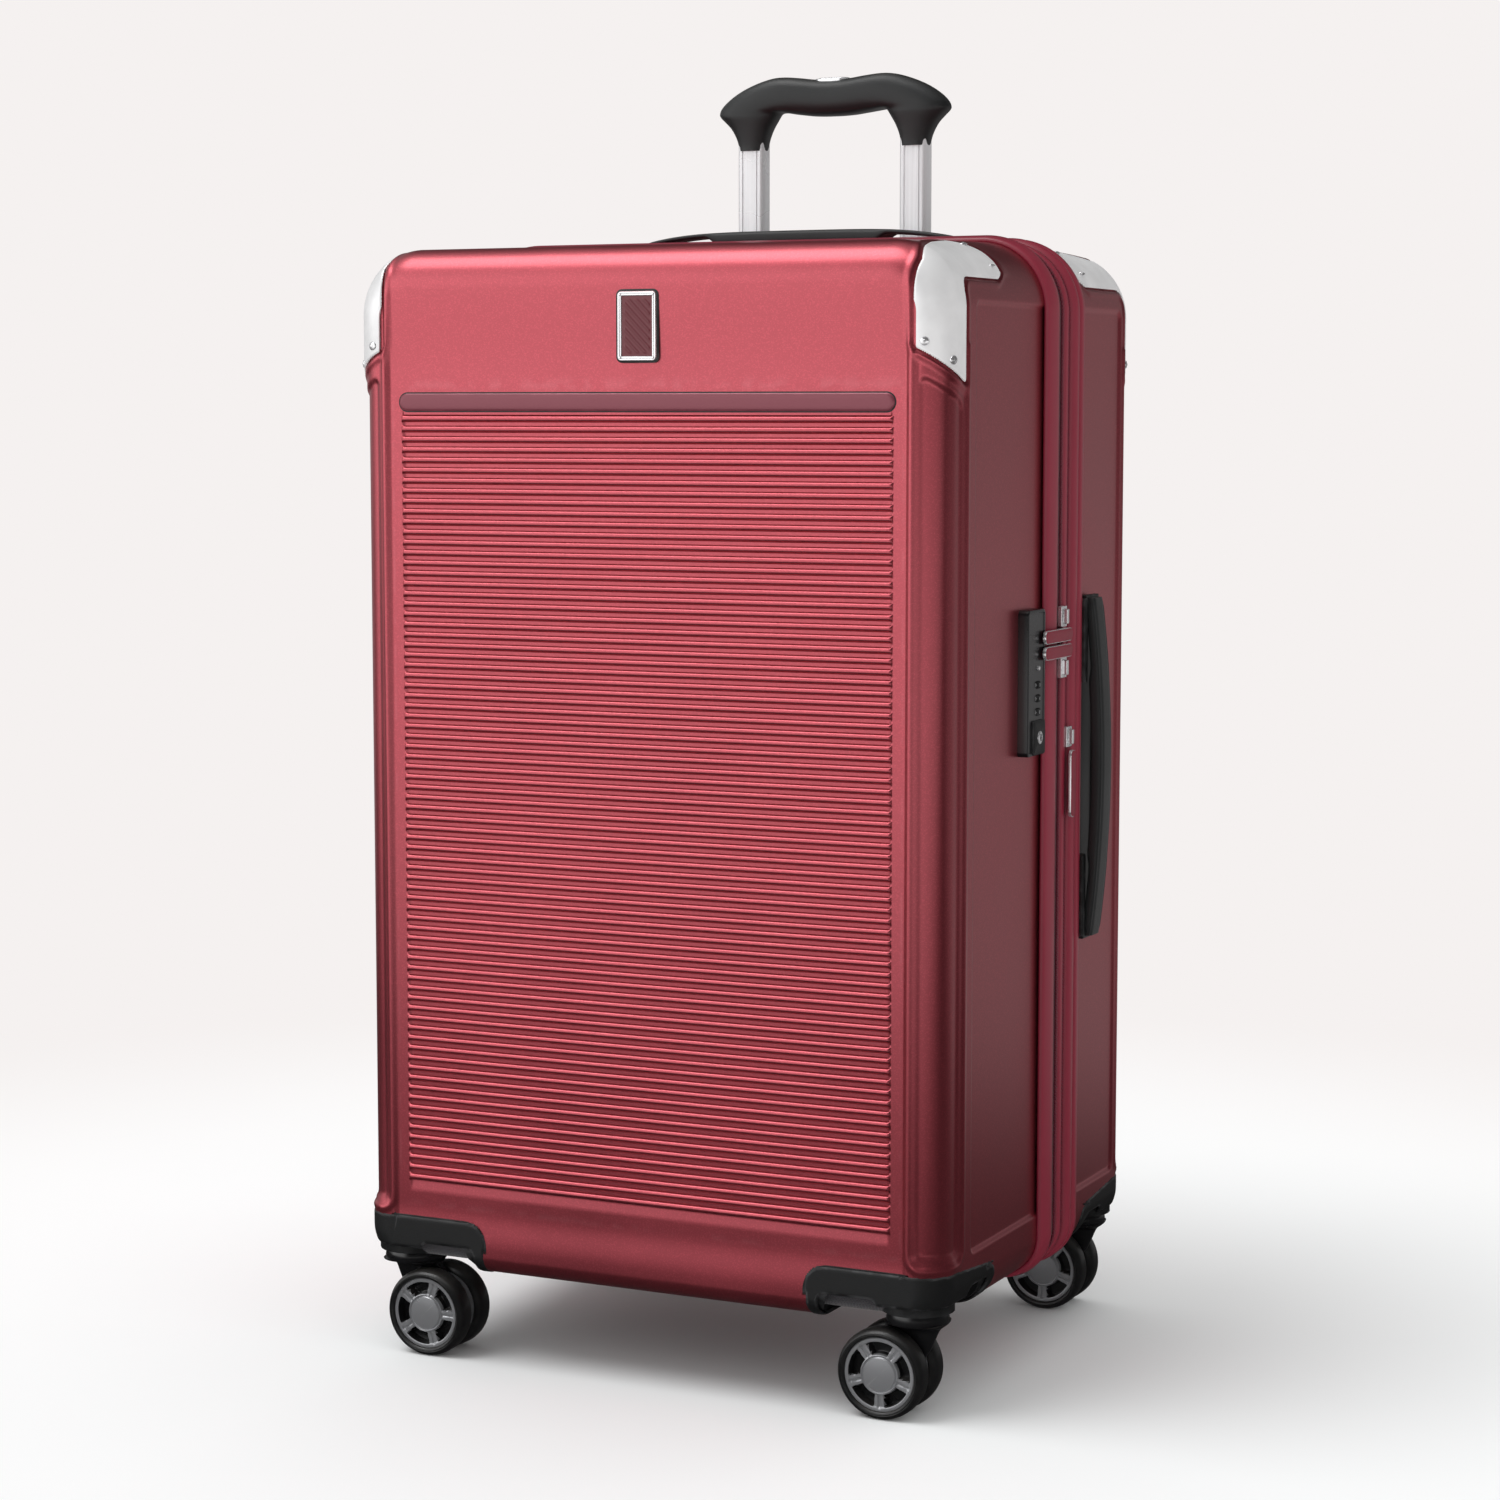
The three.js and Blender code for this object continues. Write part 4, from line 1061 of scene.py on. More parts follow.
def fork_sheet():
    """The fork: rounded rectangles stacked from the turntable down, narrowing to the web between the wheels."""
    levels = np.array(FORK_LEVELS)
    levels = curve_through(levels, 3)
    turn = np.linspace(0, 2 * math.pi, 40, endpoint=False)
    squared = lambda value: np.sign(value) * np.abs(value) ** 0.6
    z, low, high, thick = levels.T[:, :, None]
    x = (low + high) / 2 + (high - low) / 2 * squared(np.cos(turn))[None]
    y = thick * squared(np.sin(turn))[None]
    points = np.stack([x, y, np.broadcast_to(z, x.shape)], -1)
    ends = [np.repeat(part.mean(0, keepdims=True), len(turn), 0)[None] for part in (points[0], points[-1])]
    web = sheet_of(np.concatenate([ends[0], points, ends[1]]), wrap_columns=True)
    table = lathe([(0, 71.2), (18.0, 71.2), (19.6, 70.4), (20.2, 68.4), (20.6, 65.2), (20.0, 63.2), (0, 62.9)],
                  (0, 0, 0), (0, 0, 1), 56)
    return joined(web, table)


RIM_RADIUS, WINDOW_OUT, WINDOW_IN, CAP_RADIUS = 24.8, 21.6, 13.4, 11.0
SPOKES = 5
SPOKE_HALF = 3.3


WINDOW_DEPTH = 6.5


def rim_level(radius, turn, first_spoke):
    """The rim's face: a raised ring, five grooved spokes over deep windows and a domed cap."""
    spoke = np.abs(np.mod((turn - first_spoke) * SPOKES / (2 * math.pi) + 0.5, 1) - 0.5) * 2 * math.pi / SPOKES
    aside = radius * np.sin(np.minimum(spoke, math.pi / 2))
    spoke_edge = SPOKE_HALF + 0.10 * (radius - 17)
    window = smoothstep(aside, spoke_edge, spoke_edge + 0.9)
    window = window * smoothstep(radius, WINDOW_IN - 0.2, WINDOW_IN + 0.7) * smoothstep(radius, WINDOW_OUT + 0.2, WINDOW_OUT - 0.7)
    groove = smoothstep(aside, 1.1, 0.5) * smoothstep(radius, 12.5, 13.5) * smoothstep(radius, 22.6, 21.8)
    ring = 0.5 * smoothstep(radius, 21.2, 22.0) * smoothstep(radius, 24.6, 24.0)
    collar = 0.4 * smoothstep(radius, 13.4, 12.8) - 0.7 * smoothstep(radius, 12.6, 12.1)
    dome = smoothstep(radius, CAP_RADIUS + 0.5, CAP_RADIUS) * (0.9 + 0.7 * np.clip(1 - (radius / CAP_RADIUS) ** 2, 0, 1))
    return -WINDOW_DEPTH * window - 0.7 * groove + ring + collar + dome


def tyre_sheet():
    """A tyre about the Y axis: a closed section with a fine groove on each shoulder."""
    half = WHEEL_WIDTH / 2
    tyre_profile = [
        (RIM_RADIUS - 0.4, -half + 1.6), (RIM_RADIUS, -half + 0.5), (RIM_RADIUS + 0.5, -half + 0.15),
        (RIM_RADIUS + 1.6, -half + 0.1), (RIM_RADIUS + 1.9, -half + 0.5), (RIM_RADIUS + 2.3, -half + 0.3),
        (28.0, -half + 0.9), (29.0, -half + 1.8), (29.7, -half + 3.2), (30.0, -half + 5.2), (30.0, half - 5.2),
        (29.7, half - 3.2), (29.0, half - 1.8), (28.0, half - 0.9), (RIM_RADIUS + 0.5, half - 0.2),
        (RIM_RADIUS - 0.4, half - 0.8),
    ]
    profile = np.array(tyre_profile + tyre_profile[:1])
    return lathe(profile, (0, 0, 0), (0, 1, 0), 72)


def rim_sheets(first_spoke):
    """A rim about the Y axis, its face towards -Y: its bright part, and the floors of its windows, split off to be
    drawn black as painted shade in the openings.
    """
    half = WHEEL_WIDTH / 2
    radius = np.concatenate([[0.001], spaced((1.5, 2.2), (10.4, 0.45), (22.2, 0.6), RIM_RADIUS - 0.3)])
    turn = np.linspace(0, 2 * math.pi, 220, endpoint=False)
    rr, tt = np.meshgrid(radius, turn, indexing="ij")
    height = rim_level(rr, tt, first_spoke)
    face = np.stack([rr * np.cos(tt), -(half - 2.0) - height, rr * np.sin(tt)], -1)
    back_radius = np.array([RIM_RADIUS - 0.3, 14.0, 0.001])
    br, bt = np.meshgrid(back_radius, turn, indexing="ij")
    back = np.stack([br * np.cos(bt), np.full_like(br, half - 1.2), br * np.sin(bt)], -1)
    points, quads = sheet_of(np.concatenate([face, back]), wrap_columns=True)
    level = np.concatenate([height, 0 * br]).ravel()
    # The deepest cells are the window floors; they take a black finish as painted shade in the openings.
    deep = level[quads].min(1) < -0.45 * WINDOW_DEPTH
    return (points, quads[~deep]), (points, quads[deep])


SPOKE_DOWN, SPOKE_ASIDE = math.radians(54), 0.0


def moved(sheet, offset, flip_x=False, flip_y=False):
    """A sheet mirrored where asked, then moved."""
    points, quads = sheet
    scale = np.array([-1 if flip_x else 1, -1 if flip_y else 1, 1])
    quads = quads[:, ::-1] if flip_x != flip_y else quads
    return points * scale + np.asarray(offset, float), quads


def build_casters():
    """Four swivel casters: each trails on its own side, as the case was last rolled."""
    fork, tyre = fork_sheet(), tyre_sheet()
    for depth, y in (("front", -CASTER_Y), ("rear", CASTER_Y)):
        for side, x in (("left", -CASTER_X), ("right", CASTER_X)):
            corner = depth + "_" + side
            trail_right = side == "left"
            make_piece("caster_fork_arm_" + corner, moved(fork, (x, y, 0), flip_x=trail_right), "caster_" + corner,
                       gloss_black, ["caster_fork_" + corner], sharp=45)
            hub_x = x + (TRAIL if trail_right else -TRAIL)
            rim, windows = rim_sheets(SPOKE_ASIDE if corner == "front_left" else SPOKE_DOWN)
            for disc, offset in (("front", -DISC_SPACING / 2), ("rear", DISC_SPACING / 2)):
                body = "wheel_%s_%s" % (corner, disc)
                centre = (hub_x, y + offset, HUB_HEIGHT)
                outward = disc == "rear"
                make_piece("tyre_%s_%s" % (corner, disc), moved(tyre, centre, flip_y=outward), body,
                           tyre_rubber, [body + "_disc"], sharp=40)
                facing = (0, 1 if outward else -1, 0)
                make_piece("rim_%s_%s" % (corner, disc), moved(rim, centre, flip_y=outward), body,
                           caster_grey, sharp=38)
                # Window floors in gloss black: painted shade for the deep openings between the spokes.
                make_piece("rim_windows_%s_%s" % (corner, disc), moved(windows, centre, flip_y=outward), body,
                           gloss_black, sharp=38, facing=facing)


# ---------------------------------------------------------------- pull handle
def leg_sheet(x):
    """An aluminium leg: a round-cornered section with grooves down its faces, carried up Z."""
    half_u, half_v, radius = 10.0, 7.0, 2.2
    turn = np.linspace(0, math.pi / 2, 5)
    points = []
    for k, (sx, sy) in enumerate([(1, 1), (-1, 1), (-1, -1), (1, -1)]):
        angle = turn + k * math.pi / 2
        arc = np.stack([sx * (half_u - radius) + radius * np.cos(angle), sy * (half_v - radius) + radius * np.sin(angle)], 1)
        points.append(arc)
        if k % 2 == 0:
            groove = np.array([6.4, 5.9, 5.4, 4.9, -4.9, -5.4, -5.9, -6.4])
            depth = np.array([0, 0.6, 0.6, 0, 0, 0.6, 0.6, 0])
            points.append(np.stack([sx * groove, sy * (half_v - depth)], 1))
    section = np.concatenate(points)
    z = np.array([300.5, 302, 500, 700, 838, 846])
    grid = np.stack([
        np.broadcast_to(x + section[None, :, 0], (len(z), len(section))),
        np.broadcast_to(LEG_Y + section[None, :, 1], (len(z), len(section))),
        np.broadcast_to(z[:, None], (len(z), len(section))),
    ], -1)
    ends = [np.repeat(part.mean(0, keepdims=True), len(section), 0)[None] for part in (grid[0], grid[-1])]
    return sheet_of(np.concatenate([ends[0], grid, ends[1]]), wrap_columns=True)


GRIP_OUTER = [(74.0, 835.3), (74.9, 839.5), (76.8, 845), (80.6, 851.5), (85.4, 856.4), (89.0, 859.8), (90.0, 862.4),
              (88.2, 866.6), (82.0, 872.4), (72.0, 878.6), (60.0, 883.6), (48, 886.8), (38, 887.4), (26, 886.4),
              (13, 884.8), (0, 884.2)]
GRIP_INNER = [(54.0, 835.3), (53.4, 839.5), (52.0, 845), (49.4, 851), (46.4, 856), (44.2, 859.4), (42.6, 861.4),
              (40.2, 862.2), (36.6, 861.9), (33, 861.2), (28, 860.4), (22, 859.6), (17, 859.0), (11, 858.6),
              (5, 858.4), (0, 858.4)]


def grip_sheet():
    """The grip: squared ellipses between an outer and an inner line, from neck to neck."""
    outer, inner = curve_through(GRIP_OUTER, 5), curve_through(GRIP_INNER, 5)
    outer = np.concatenate([outer, (outer * [-1, 1])[-2::-1]])
    inner = np.concatenate([inner, (inner * [-1, 1])[-2::-1]])
    turn = np.linspace(0, 2 * math.pi, 40, endpoint=False)
    squared = lambda value, power: np.sign(value) * np.abs(value) ** power
    middle, half = (outer + inner) / 2, (outer - inner) / 2
    run = np.linspace(-1, 1, len(outer))
    thick = 9.2 + 3.7 * smoothstep(1 - np.abs(run), 0.02, 0.35)
    along = squared(np.cos(turn), 0.8)
    xz = middle[:, None] + half[:, None] * along[None, :, None]
    y = LEG_Y + thick[:, None] * squared(np.sin(turn), 0.7)[None]
    points = np.stack([xz[..., 0], y, xz[..., 1]], -1)
    ends = [np.repeat(part.mean(0, keepdims=True), len(turn), 0)[None] for part in (points[0], points[-1])]
    return sheet_of(np.concatenate([ends[0], points, ends[1]]), wrap_columns=True)


def build_pull_handle():
    """Two drawn legs, the grip that joins them, its button and the cup that it sinks into."""
    for side, x in (("left", -LEG_X), ("right", LEG_X)):
        make_piece("pull_leg_" + side, leg_sheet(x), "pull_handle", drawn_aluminium,
                   ["handle_leg_" + side], sharp=30)
    make_piece("pull_grip", grip_sheet(), "pull_handle", grip_rubber, ["handle_grip"], sharp=50)
    ring = plate(14.5, 8.0, 8.0, [(0, -1.5), (0, 0.2), (0.5, 0.7), (1.2, 0.6), (1.6, -0.2), (1.6, -1.5)],
                 (0, LEG_Y, 884.2), (1, 0, 0), (0, 1, 0), 10)
    make_piece("grip_button_ring", ring, "pull_handle", polished_chrome)
    low, high = node_box("handle_button")
    button = plate(12.6, 6.1, 6.0, [(0, 0), (0, 4.0), (0.4, 4.7), (1.4, 5.1), (3.0, 5.3)], (0, LEG_Y, low[2]),
                   (1, 0, 0), (0, 1, 0), 10)
    make_piece("grip_button", button, "pull_handle_button", polished_chrome, ["handle_button"])
    refined("handle_cup_tray", "handle_cup", "rear_case", moulded_black, bevel=1.0, angle=40)


# ---------------------------------------------------------------- carry handles
def strap_sheet(length, end_height, bow, squareness, end_thick, middle_thick, width):
    """A strap along U whose top line rises in W: a rounded section, thicker downwards over its middle."""
    u = np.concatenate([[-length / 2], np.linspace(-length / 2 + 0.8, length / 2 - 0.8, 90), [length / 2]])
    part = np.abs(u) / (length / 2)
    thick = end_thick + (middle_thick - end_thick) * smoothstep(part, 0.60, 0.50)
    half_width = width / 2 * np.sqrt(1 - 0.25 * smoothstep(part, 0.93, 1.0))
    top = end_height + bow * (1 - part**squareness)
    turn = np.linspace(0, 2 * math.pi, 44, endpoint=False)
    squared = lambda value, power: np.sign(value) * np.abs(value) ** power
    v = half_width[:, None] * squared(np.cos(turn), 0.42)[None]
    w = top[:, None] + thick[:, None] / 2 * (squared(np.sin(turn), 0.55)[None] - 1)
    line = smoothstep(np.abs(np.abs(v) / width - 0.36), 0.05, 0.015)
    w = w - 0.5 * line * (np.sin(turn)[None] > 0.2)
    points = np.stack([np.broadcast_to(u[:, None], v.shape), v, w], -1)
    ends = [np.repeat(part_.mean(0, keepdims=True), len(turn), 0)[None] for part_ in (points[0], points[-1])]
    return sheet_of(np.concatenate([ends[0], points, ends[1]]), wrap_columns=True)


def build_carry_handles():
    """The top and side handles, the plates behind their ends and the mounts they slide in."""
    points, quads = strap_sheet(238, 8.2, 7.0, 4, 3.2, 10.0, 23)
    top = np.stack([points[:, 0], CARRY_Y + points[:, 1], TOP + points[:, 2]], 1), quads
    make_piece("top_strap", top, "top_carry_handle", strap_rubber, ["top_handle"], sharp=50)
    low, high = node_box("side_handle")
    middle = (low[2] + high[2]) / 2
    points, quads = strap_sheet(high[2] - low[2], 9.6, 7.6, 2, 7.4, 9.4, 23)
    side = np.stack([HALF_WIDTH + points[:, 2], CARRY_Y + points[:, 1], middle + points[:, 0]], 1), quads
    make_piece("side_strap", side, "side_carry_handle", strap_rubber, ["side_handle"], sharp=50)
    for node in ("top_handle_foot_left", "top_handle_foot_right"):
        refined(node + "_mount", node, "rear_case", moulded_black, bevel=0.7)
        low, high = node_box(node)
        base = plate(9.5, 14.5, 4, [(0, 0), (0, 1.0), (0.6, 1.6)],
                     ((low[0] + high[0]) / 2 - MIDDLE_X, CARRY_Y, TOP - 1.4), (1, 0, 0), (0, 1, 0))
        make_piece(node + "_base", base, "rear_case", moulded_black)
    tray = plate(17.5, 118, 5, [(0, -1.5), (0, 0.6), (0.6, 1.3), (2.2, 1.3), (2.8, 0.5)],
                 (HALF_WIDTH - 0.7, CARRY_Y - 1, middle), ALONG_Y, ALONG_Z)
    make_piece("side_handle_tray", tray, "rear_case", moulded_black)
    for node, way in (("side_handle_foot_upper", 1), ("side_handle_foot_lower", -1)):
        refined(node + "_mount", node, "rear_case", moulded_black, bevel=0.7)
        rail = plate(3.2, 29, 2.0, [(0, 0), (0, 6.6), (0.5, 7.3), (1.2, 7.6)],
                     (HALF_WIDTH - 1.0, CARRY_Y - 14.6, middle + way * 88), ALONG_Y, ALONG_Z)
        make_piece(node + "_rail", rail, "rear_case", moulded_black)


# ---------------------------------------------------------------- front trim, lock and zip pulls
BAR = {"half": 180.0, "low": 647.2, "high": 658.7}
BADGE = {"half_x": 14.0, "low": 679.5, "high": 724.0}


def build_trim():
    """The bar across the front and the badge above it: a framed panel with plain diagonal ridges."""
    level = FRONT_FACE + RIB_RISE
    half_z, middle = (BAR["high"] - BAR["low"]) / 2, (BAR["high"] + BAR["low"]) / 2
    seat = plate(BAR["half"] + 0.9, half_z + 0.9, half_z + 0.9, [(0, -0.6), (0, 0.12), (0.3, 0.16)], (0, level, middle),
                 ALONG_X, ALONG_Z, 10)
    make_piece("trim_bar_seat", seat, "front_case", moulded_black)
    bar = plate(BAR["half"], half_z, half_z, [(0, -0.6), (0, 0.6), (0.5, 1.1), (1.6, 1.4), (3.4, 1.5)],
                (0, level, middle), ALONG_X, ALONG_Z, 10)
    make_piece("trim_bar_inlay", bar, "front_case", enamel_bar, ["trim_bar"])
    half_z, middle = (BADGE["high"] - BADGE["low"]) / 2, (BADGE["high"] + BADGE["low"]) / 2
    place_at = (0, FRONT_FACE + 0.6, middle)
    half_x = BADGE["half_x"]
    seat = plate(half_x + 1.4, half_z + 1.4, 4.0, [(0, -1.2), (0, 0.75), (0.4, 0.95)], place_at, ALONG_X, ALONG_Z)
    make_piece("badge_seat", seat, "front_case", moulded_black)
    frame_profile = [(0, 0), (0, 1.7), (0.4, 2.2), (1.3, 2.2), (1.6, 1.8), (1.9, 2.1), (2.6, 2.1), (2.9, 1.6), (2.9, 0.8)]
    make_piece("badge_frame", plate(half_x, half_z, 2.6, frame_profile, place_at, ALONG_X, ALONG_Z), "front_case",
               polished_chrome, ["badge"], sharp=40)
    x, z = np.meshgrid(np.linspace(-11, 11, 45), np.linspace(-19.2, 19.2, 79), indexing="ij")
    ridge = 0.35 * (0.5 + 0.5 * np.cos((x + z) * 2 * math.pi / 5.5)) ** 2
    border = smoothstep(np.maximum(np.abs(x) - 9.6, np.abs(z) - 17.8), 0, -0.8)
    y = place_at[1] - 1.3 - ridge * border
    panel = make_piece("badge_panel", sheet_of(np.stack([x, y, z + middle], -1)), "front_case",
                       enamel_panel, facing=(0, -1, 0), sharp=60)
    thicken(panel, 0.4)
    pins = [lathe([(0, 0.9), (0.6, 0.8), (0.9, 0.3), (0.9, -0.8), (0, -0.8)],
                  (sx * (half_x - 2.0), place_at[1] - 2.1, middle + sz * (half_z - 2.0)), (0, -1, 0), 12)
            for sx in (-1, 1) for sz in (-1, 1)]
    make_piece("badge_pins", joined(*pins), "front_case", polished_chrome)


def build_lock():
    """The lock on the side wall: its plate, key block, three numbered dials and reset button."""
    low, high = node_box("lock_body")
    body_plate = plate(16.2, 48.5, 3.4, [(0, -8.5), (0, -1.0), (0.3, -0.35), (1.0, 0), (2.2, 0), (2.6, -0.5)],
                       (LOCK_FACE, LOCK_Y - 3.3, LOCK_Z), ALONG_Y, ALONG_Z, 8)
    make_piece("lock_plate", body_plate, "front_case", gloss_black, ["lock_body"])
    block = plate(10.5, 11.5, 2.0, [(0, -1), (0, 1.0), (0.5, 1.6), (1.2, 1.8)], (LOCK_FACE - 0.4, LOCK_Y, 432),
                  ALONG_Y, ALONG_Z)
    make_piece("key_block", block, "front_case", moulded_black)
    low, high = node_box("lock_key_cylinder")
    middle = (low + high) / 2 - [MIDDLE_X, 0, 0]
    key = lathe([(0, 1.9), (1.2, 1.9), (1.3, 2.3), (3.6, 2.3), (4.3, 1.9), (4.5, 1.0), (4.5, -3), (0, -3)],
                (LOCK_FACE - 0.2, middle[1], middle[2]), (1, 0, 0), 32)
    # The key slot is not cut: a thin black plate on the cylinder's face is painted shade standing in for the slot's
    # opening.
    slot_shade = plate(0.5, 2.4, 0.4, [(0, 0), (0, 0.5)], (LOCK_FACE + 1.9, middle[1], middle[2]), ALONG_Y, ALONG_Z)
    make_piece("key_cylinder", key, "lock_key", polished_chrome, ["lock_key_cylinder"])
    make_piece("key_slot_shade", slot_shade, "lock_key", gloss_black)
    for number, (body, z) in enumerate((("lock_dial_lower", 449), ("lock_dial_middle", 458), ("lock_dial_upper", 467))):
        turn = np.linspace(0, 2 * math.pi, 80, endpoint=False)
        radius = np.array([0.0, 6.2, 7.0, 7.0, 6.2, 0.0])
        height = np.array([-2.6, -2.6, -1.9, 1.9, 2.6, 2.6])
        ridge = 0.28 * (np.cos(turn * 20) > 0)
        rr = radius[:, None] + ridge[None] * ((radius > 6.5)[:, None])
        points = np.stack([215.8 + rr * np.cos(turn), LOCK_Y + rr * np.sin(turn), z + height[:, None] + 0 * turn], -1)
        make_piece("number_dial_%d" % (number + 1), sheet_of(points, wrap_columns=True), body,
                   moulded_black, ["lock_dial_%d" % (number + 1)], sharp=30)
        marks = []
        for place_number in range(10):
            angle = place_number * 2 * math.pi / 10
            out = np.array([math.cos(angle), math.sin(angle), 0])
            across = np.array([-math.sin(angle), math.cos(angle), 0])
            centre = np.array([215.8, LOCK_Y, z]) + out * 7.25
            marks.append(plate(0.35, 1.2, 0.2, [(0, -0.2), (0, 0.12)], centre, across, ALONG_Z, 3))
            if place_number % 2:
                marks.append(plate(0.9, 0.3, 0.2, [(0, -0.2), (0, 0.12)], centre, across, ALONG_Z, 3))
        make_piece("dial_marks_%d" % (number + 1), joined(*marks), body, dial_marks)
    low, high = node_box("lock_reset_button")
    middle = (low + high) / 2 - [MIDDLE_X, 0, 0]
    reset = lathe([(0, 1.3), (1.3, 1.2), (1.7, 0.8), (1.8, -1), (0, -1)], (LOCK_FACE - 0.4, middle[1], middle[2]),
                  (1, 0, 0), 20)
    make_piece("reset_button", reset, "lock_reset", polished_chrome, ["lock_reset_button"])


def build_zip_pulls():
    """Sliders, their bridges, and the leather pulls in bright frames."""
    for node, body in (("main_slider_upper", "upper_zip_slider"), ("main_slider_lower", "lower_zip_slider"),
                       ("expansion_slider", "expansion_zip_slider")):
        refined(node + "_body", node, body, polished_chrome, bevel=0.5)
    pulls = [("main_pull_upper", "upper_zip_pull"), ("main_pull_lower", "lower_zip_pull"),
             ("expansion_pull", "expansion_zip_pull")]
    for node, body in pulls:
        low, high = node_box(node)
        low, high = low - [MIDDLE_X, 0, 0], high - [MIDDLE_X, 0, 0]
        centre, half = (low + high) / 2, (high - low) / 2
        rim = plate(half[1], half[2], min(half[1], half[2]) * 0.9,
                    [(0, -half[0]), (0, half[0] * 0.4), (0.2, half[0] * 0.9), (0.6, half[0] * 0.95), (0.7, half[0] * 0.5)],
                    centre, ALONG_Y, ALONG_Z, 8)
        make_piece(node + "_frame", rim, body, polished_chrome, [node])
        pad = plate(half[1] - 0.5, half[2] - 0.5, min(half[1], half[2]) * 0.75,
                    [(0, 0), (0, half[0]), (0.5, half[0] + 0.35), (1.4, half[0] + 0.5)], centre, ALONG_Y, ALONG_Z, 8)
        make_piece(node + "_pad", pad, body, pull_leather)


for half_name, half_shell, half_body in HALVES:
    build_shell(half_name, half_shell, half_body)
build_rim()
build_cloth()
build_guards()
build_housings()
build_casters()
build_pull_handle()
build_carry_handles()
build_trim()
build_lock()
build_zip_pulls()


# ---------------------------------------------------------------- studio
CAMERA_PLACE = (1.00007, -2.09229, 0.65062)
CAMERA_YAW, CAMERA_TILT = math.radians(25.69), math.radians(5.89)
LENS = 80.09


def build_camera():
    """A camera at the viewing angle, from its place, its turn about Z and its tilt down."""
    forward = Vector((-math.sin(CAMERA_YAW) * math.cos(CAMERA_TILT), math.cos(CAMERA_YAW) * math.cos(CAMERA_TILT),
                      -math.sin(CAMERA_TILT)))
    right = Vector((math.cos(CAMERA_YAW), math.sin(CAMERA_YAW), 0))
    up = right.cross(forward)
    turn = Matrix((right, up, -forward)).transposed().to_4x4()
    data = bpy.data.cameras.new("camera")
    data.lens, data.sensor_width = LENS, 36
    camera = bpy.data.objects.new("camera", data)
    camera.matrix_world = Matrix.Translation(CAMERA_PLACE) @ turn
    bpy.context.scene.collection.objects.link(camera)
    bpy.context.scene.camera = camera


# What gloss sees round the case: (direction, cosine where the patch is full, cosine where it ends, strength).
REFLECTED = [
    ((-0.64, -0.76, 0.12), 0.95, 0.77, 1.62),
    ((-0.15, -0.20, 0.97), 0.97, 0.66, 0.60),
    ((0.16, 0.98, -0.05), 0.95, 0.88, 0.20),
    ((-0.98, 0.15, 0.10), 0.90, 0.60, 0.40),
]
REFLECTED_BASE = 0.035
PALE = srgb(245, 241, 240)


def build_world():
    """A pale world; gloss sees it as soft bright patches to the left, above and behind on a dim ground."""
    world = bpy.data.worlds.new("studio")
    bpy.context.scene.world = world
    world.use_nodes = True
    tree = world.node_tree
    background = tree.nodes["Background"]
    path = tree.nodes.new("ShaderNodeLightPath")
    coordinate = tree.nodes.new("ShaderNodeTexCoord").outputs["Generated"]
    total = REFLECTED_BASE
    for direction, full, edge, strength in REFLECTED:
        dot = tree.nodes.new("ShaderNodeVectorMath")
        dot.operation = "DOT_PRODUCT"
        tree.links.new(coordinate, dot.inputs[0])
        dot.inputs[1].default_value = Vector(direction).normalized()
        total = maths(tree, "ADD", ranged(tree, dot.outputs["Value"], edge, full, 0.0, strength), total)
    lit = mixed(tree, path.outputs["Is Diffuse Ray"], PALE, (0.78, 0.77, 0.765, 1.0))
    tree.links.new(mixed(tree, path.outputs["Is Glossy Ray"], lit, total), background.inputs["Color"])


FLOOR_NEAR = (0.935, 0.955, 0.96, 1.0)
FLOOR_GLOSS_NEAR = (0.03, 0.029, 0.029, 1.0)
FLOOR_GLOSS_BEFORE = (1.25, 1.23, 1.22, 1.0)
FLOOR_GLOSS_BEHIND = (0.30, 0.295, 0.295, 1.0)


def mix_shaders(tree, factor, first, second):
    """Two shaders mixed by a factor."""
    node = tree.nodes.new("ShaderNodeMixShader")
    for socket, value in zip(node.inputs, (factor, first, second)):
        tree.links.new(value, socket)
    return node.outputs[0]


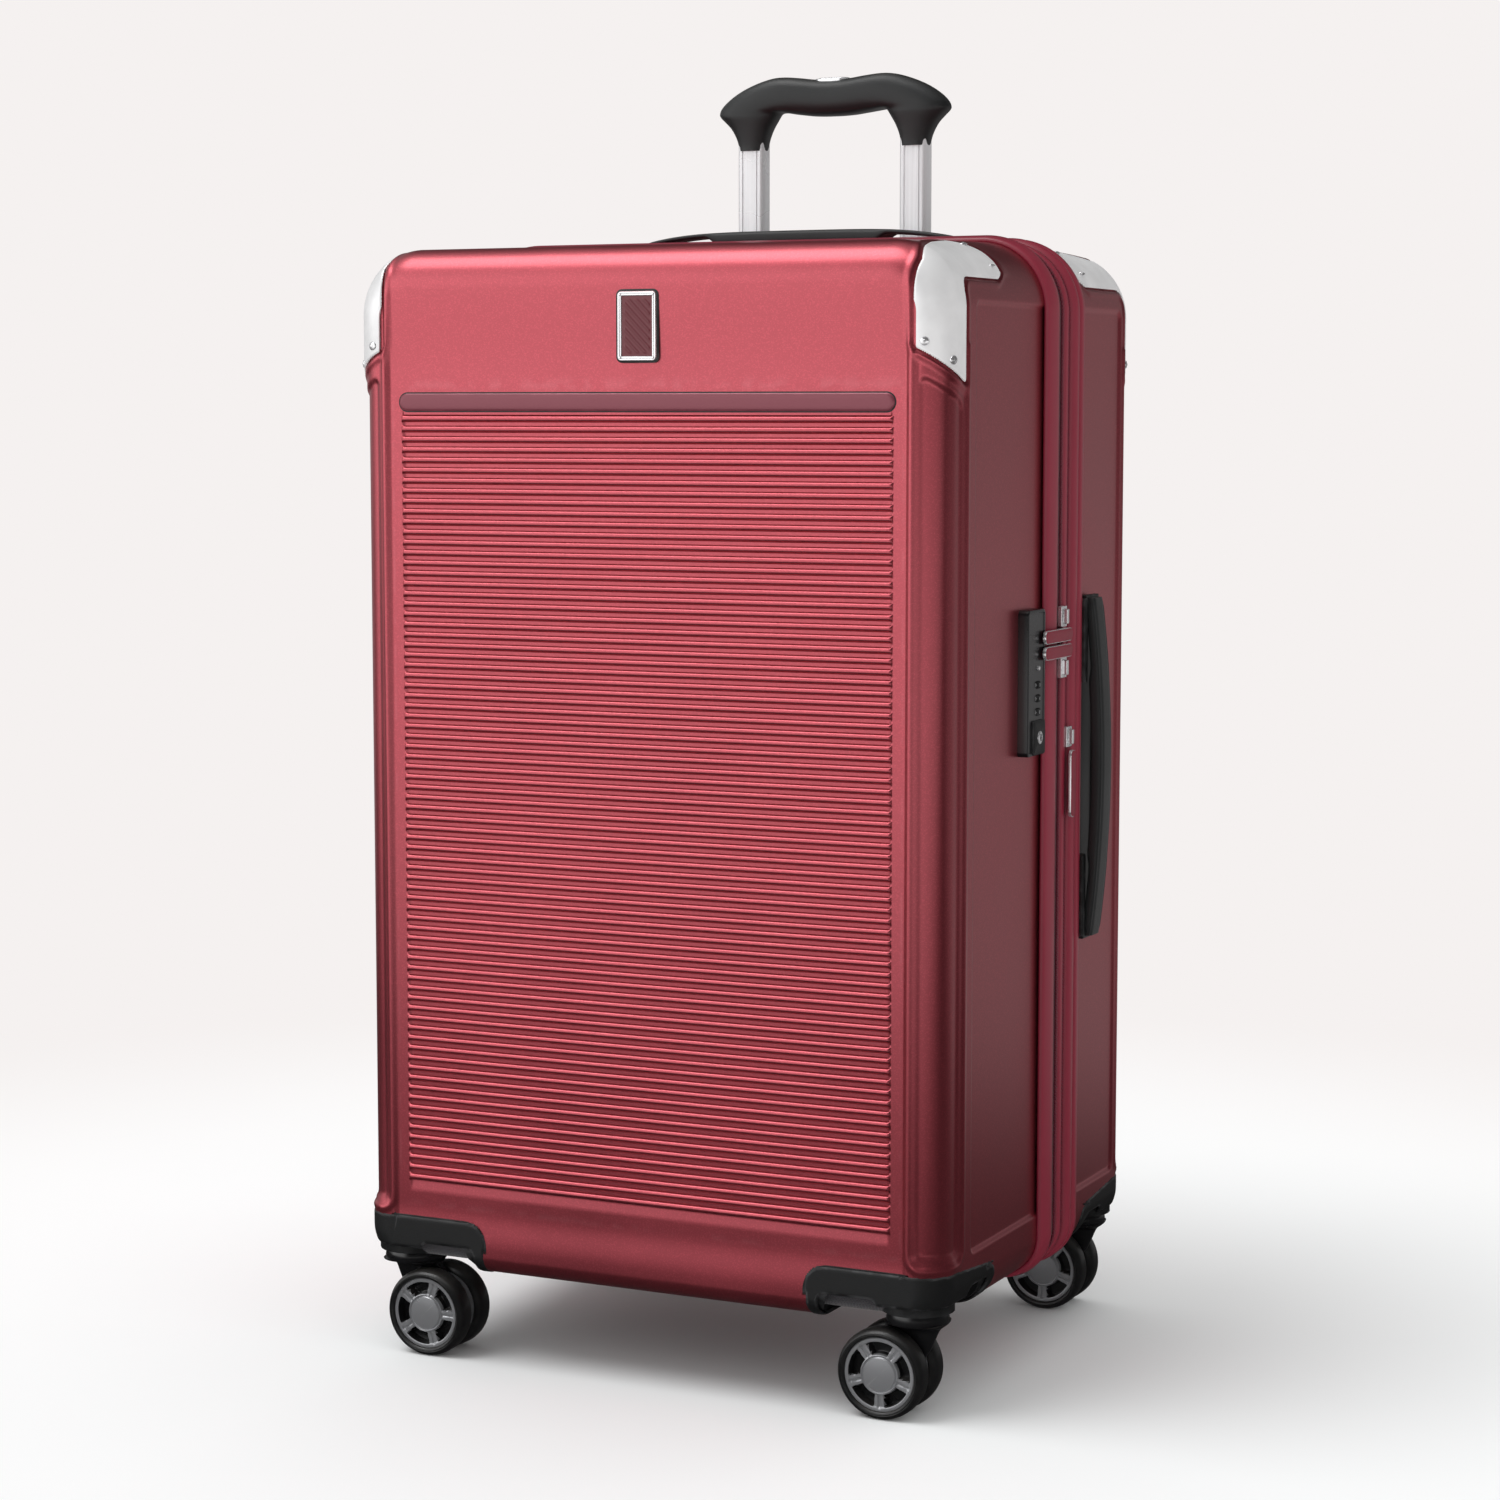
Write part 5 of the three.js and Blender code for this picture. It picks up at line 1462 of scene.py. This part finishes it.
def build_floor():
    """A pale floor that fades into the backdrop; gloss sees it dark in front of the case and pale behind."""
    grid = np.linspace(-40, 40, 9)
    x, y = np.meshgrid(grid, grid, indexing="ij")
    points, quads = sheet_of(np.stack([x, y, 0 * x], -1))
    mesh = bpy.data.meshes.new("floor")
    mesh.from_pydata(points.tolist(), [], quads.tolist())
    floor = bpy.data.objects.new("floor", mesh)
    bpy.context.scene.collection.objects.link(floor)
    material = finish_of("pale_floor", FLOOR_NEAR, contrast=0.002, roughness=0.9, roughness_spread=0.0, scale=200.0,
                         bump=0.0, specular=0.0)
    tree = material.node_tree
    shader, output = tree.nodes["Principled BSDF"], tree.nodes["Material Output"]
    coordinate = tree.nodes.new("ShaderNodeTexCoord").outputs["Object"]
    parted = tree.nodes.new("ShaderNodeSeparateXYZ")
    tree.links.new(coordinate, parted.inputs[0])
    behind = ranged(tree, parted.outputs[1], 0.3, 1.2)
    before = ranged(tree, parted.outputs[1], -0.5, -2.6)
    gloss = mixed(tree, behind, FLOOR_GLOSS_NEAR, FLOOR_GLOSS_BEHIND)
    dim = tree.nodes.new("ShaderNodeEmission")
    tree.links.new(mixed(tree, before, gloss, FLOOR_GLOSS_BEFORE), dim.inputs["Color"])
    away = tree.nodes.new("ShaderNodeVectorMath")
    away.operation = "LENGTH"
    tree.links.new(coordinate, away.inputs[0])
    plain = tree.nodes.new("ShaderNodeEmission")
    plain.inputs["Color"].default_value = PALE
    far = mix_shaders(tree, ranged(tree, away.outputs["Value"], 0.45, 1.35), shader.outputs[0], plain.outputs[0])
    path = tree.nodes.new("ShaderNodeLightPath")
    seen = mix_shaders(tree, path.outputs["Is Glossy Ray"], far, dim.outputs[0])
    tree.links.new(seen, output.inputs["Surface"])
    mesh.materials.append(material)
    if mesh.polygons[0].normal.z < 0:
        mesh.flip_normals()


def build_studio():
    """The world, the floor and one broad, soft key light from the left."""
    build_world()
    build_floor()
    data = bpy.data.lights.new("key", "SUN")
    data.energy, data.angle = 1.15, math.radians(36)
    key = bpy.data.objects.new("key", data)
    key.matrix_world = (Vector((0.42, 0.32, -1.0))).to_track_quat("-Z", "Y").to_matrix().to_4x4()
    bpy.context.scene.collection.objects.link(key)
    bpy.context.scene.view_settings.view_transform = "Standard"


build_camera()
build_studio()
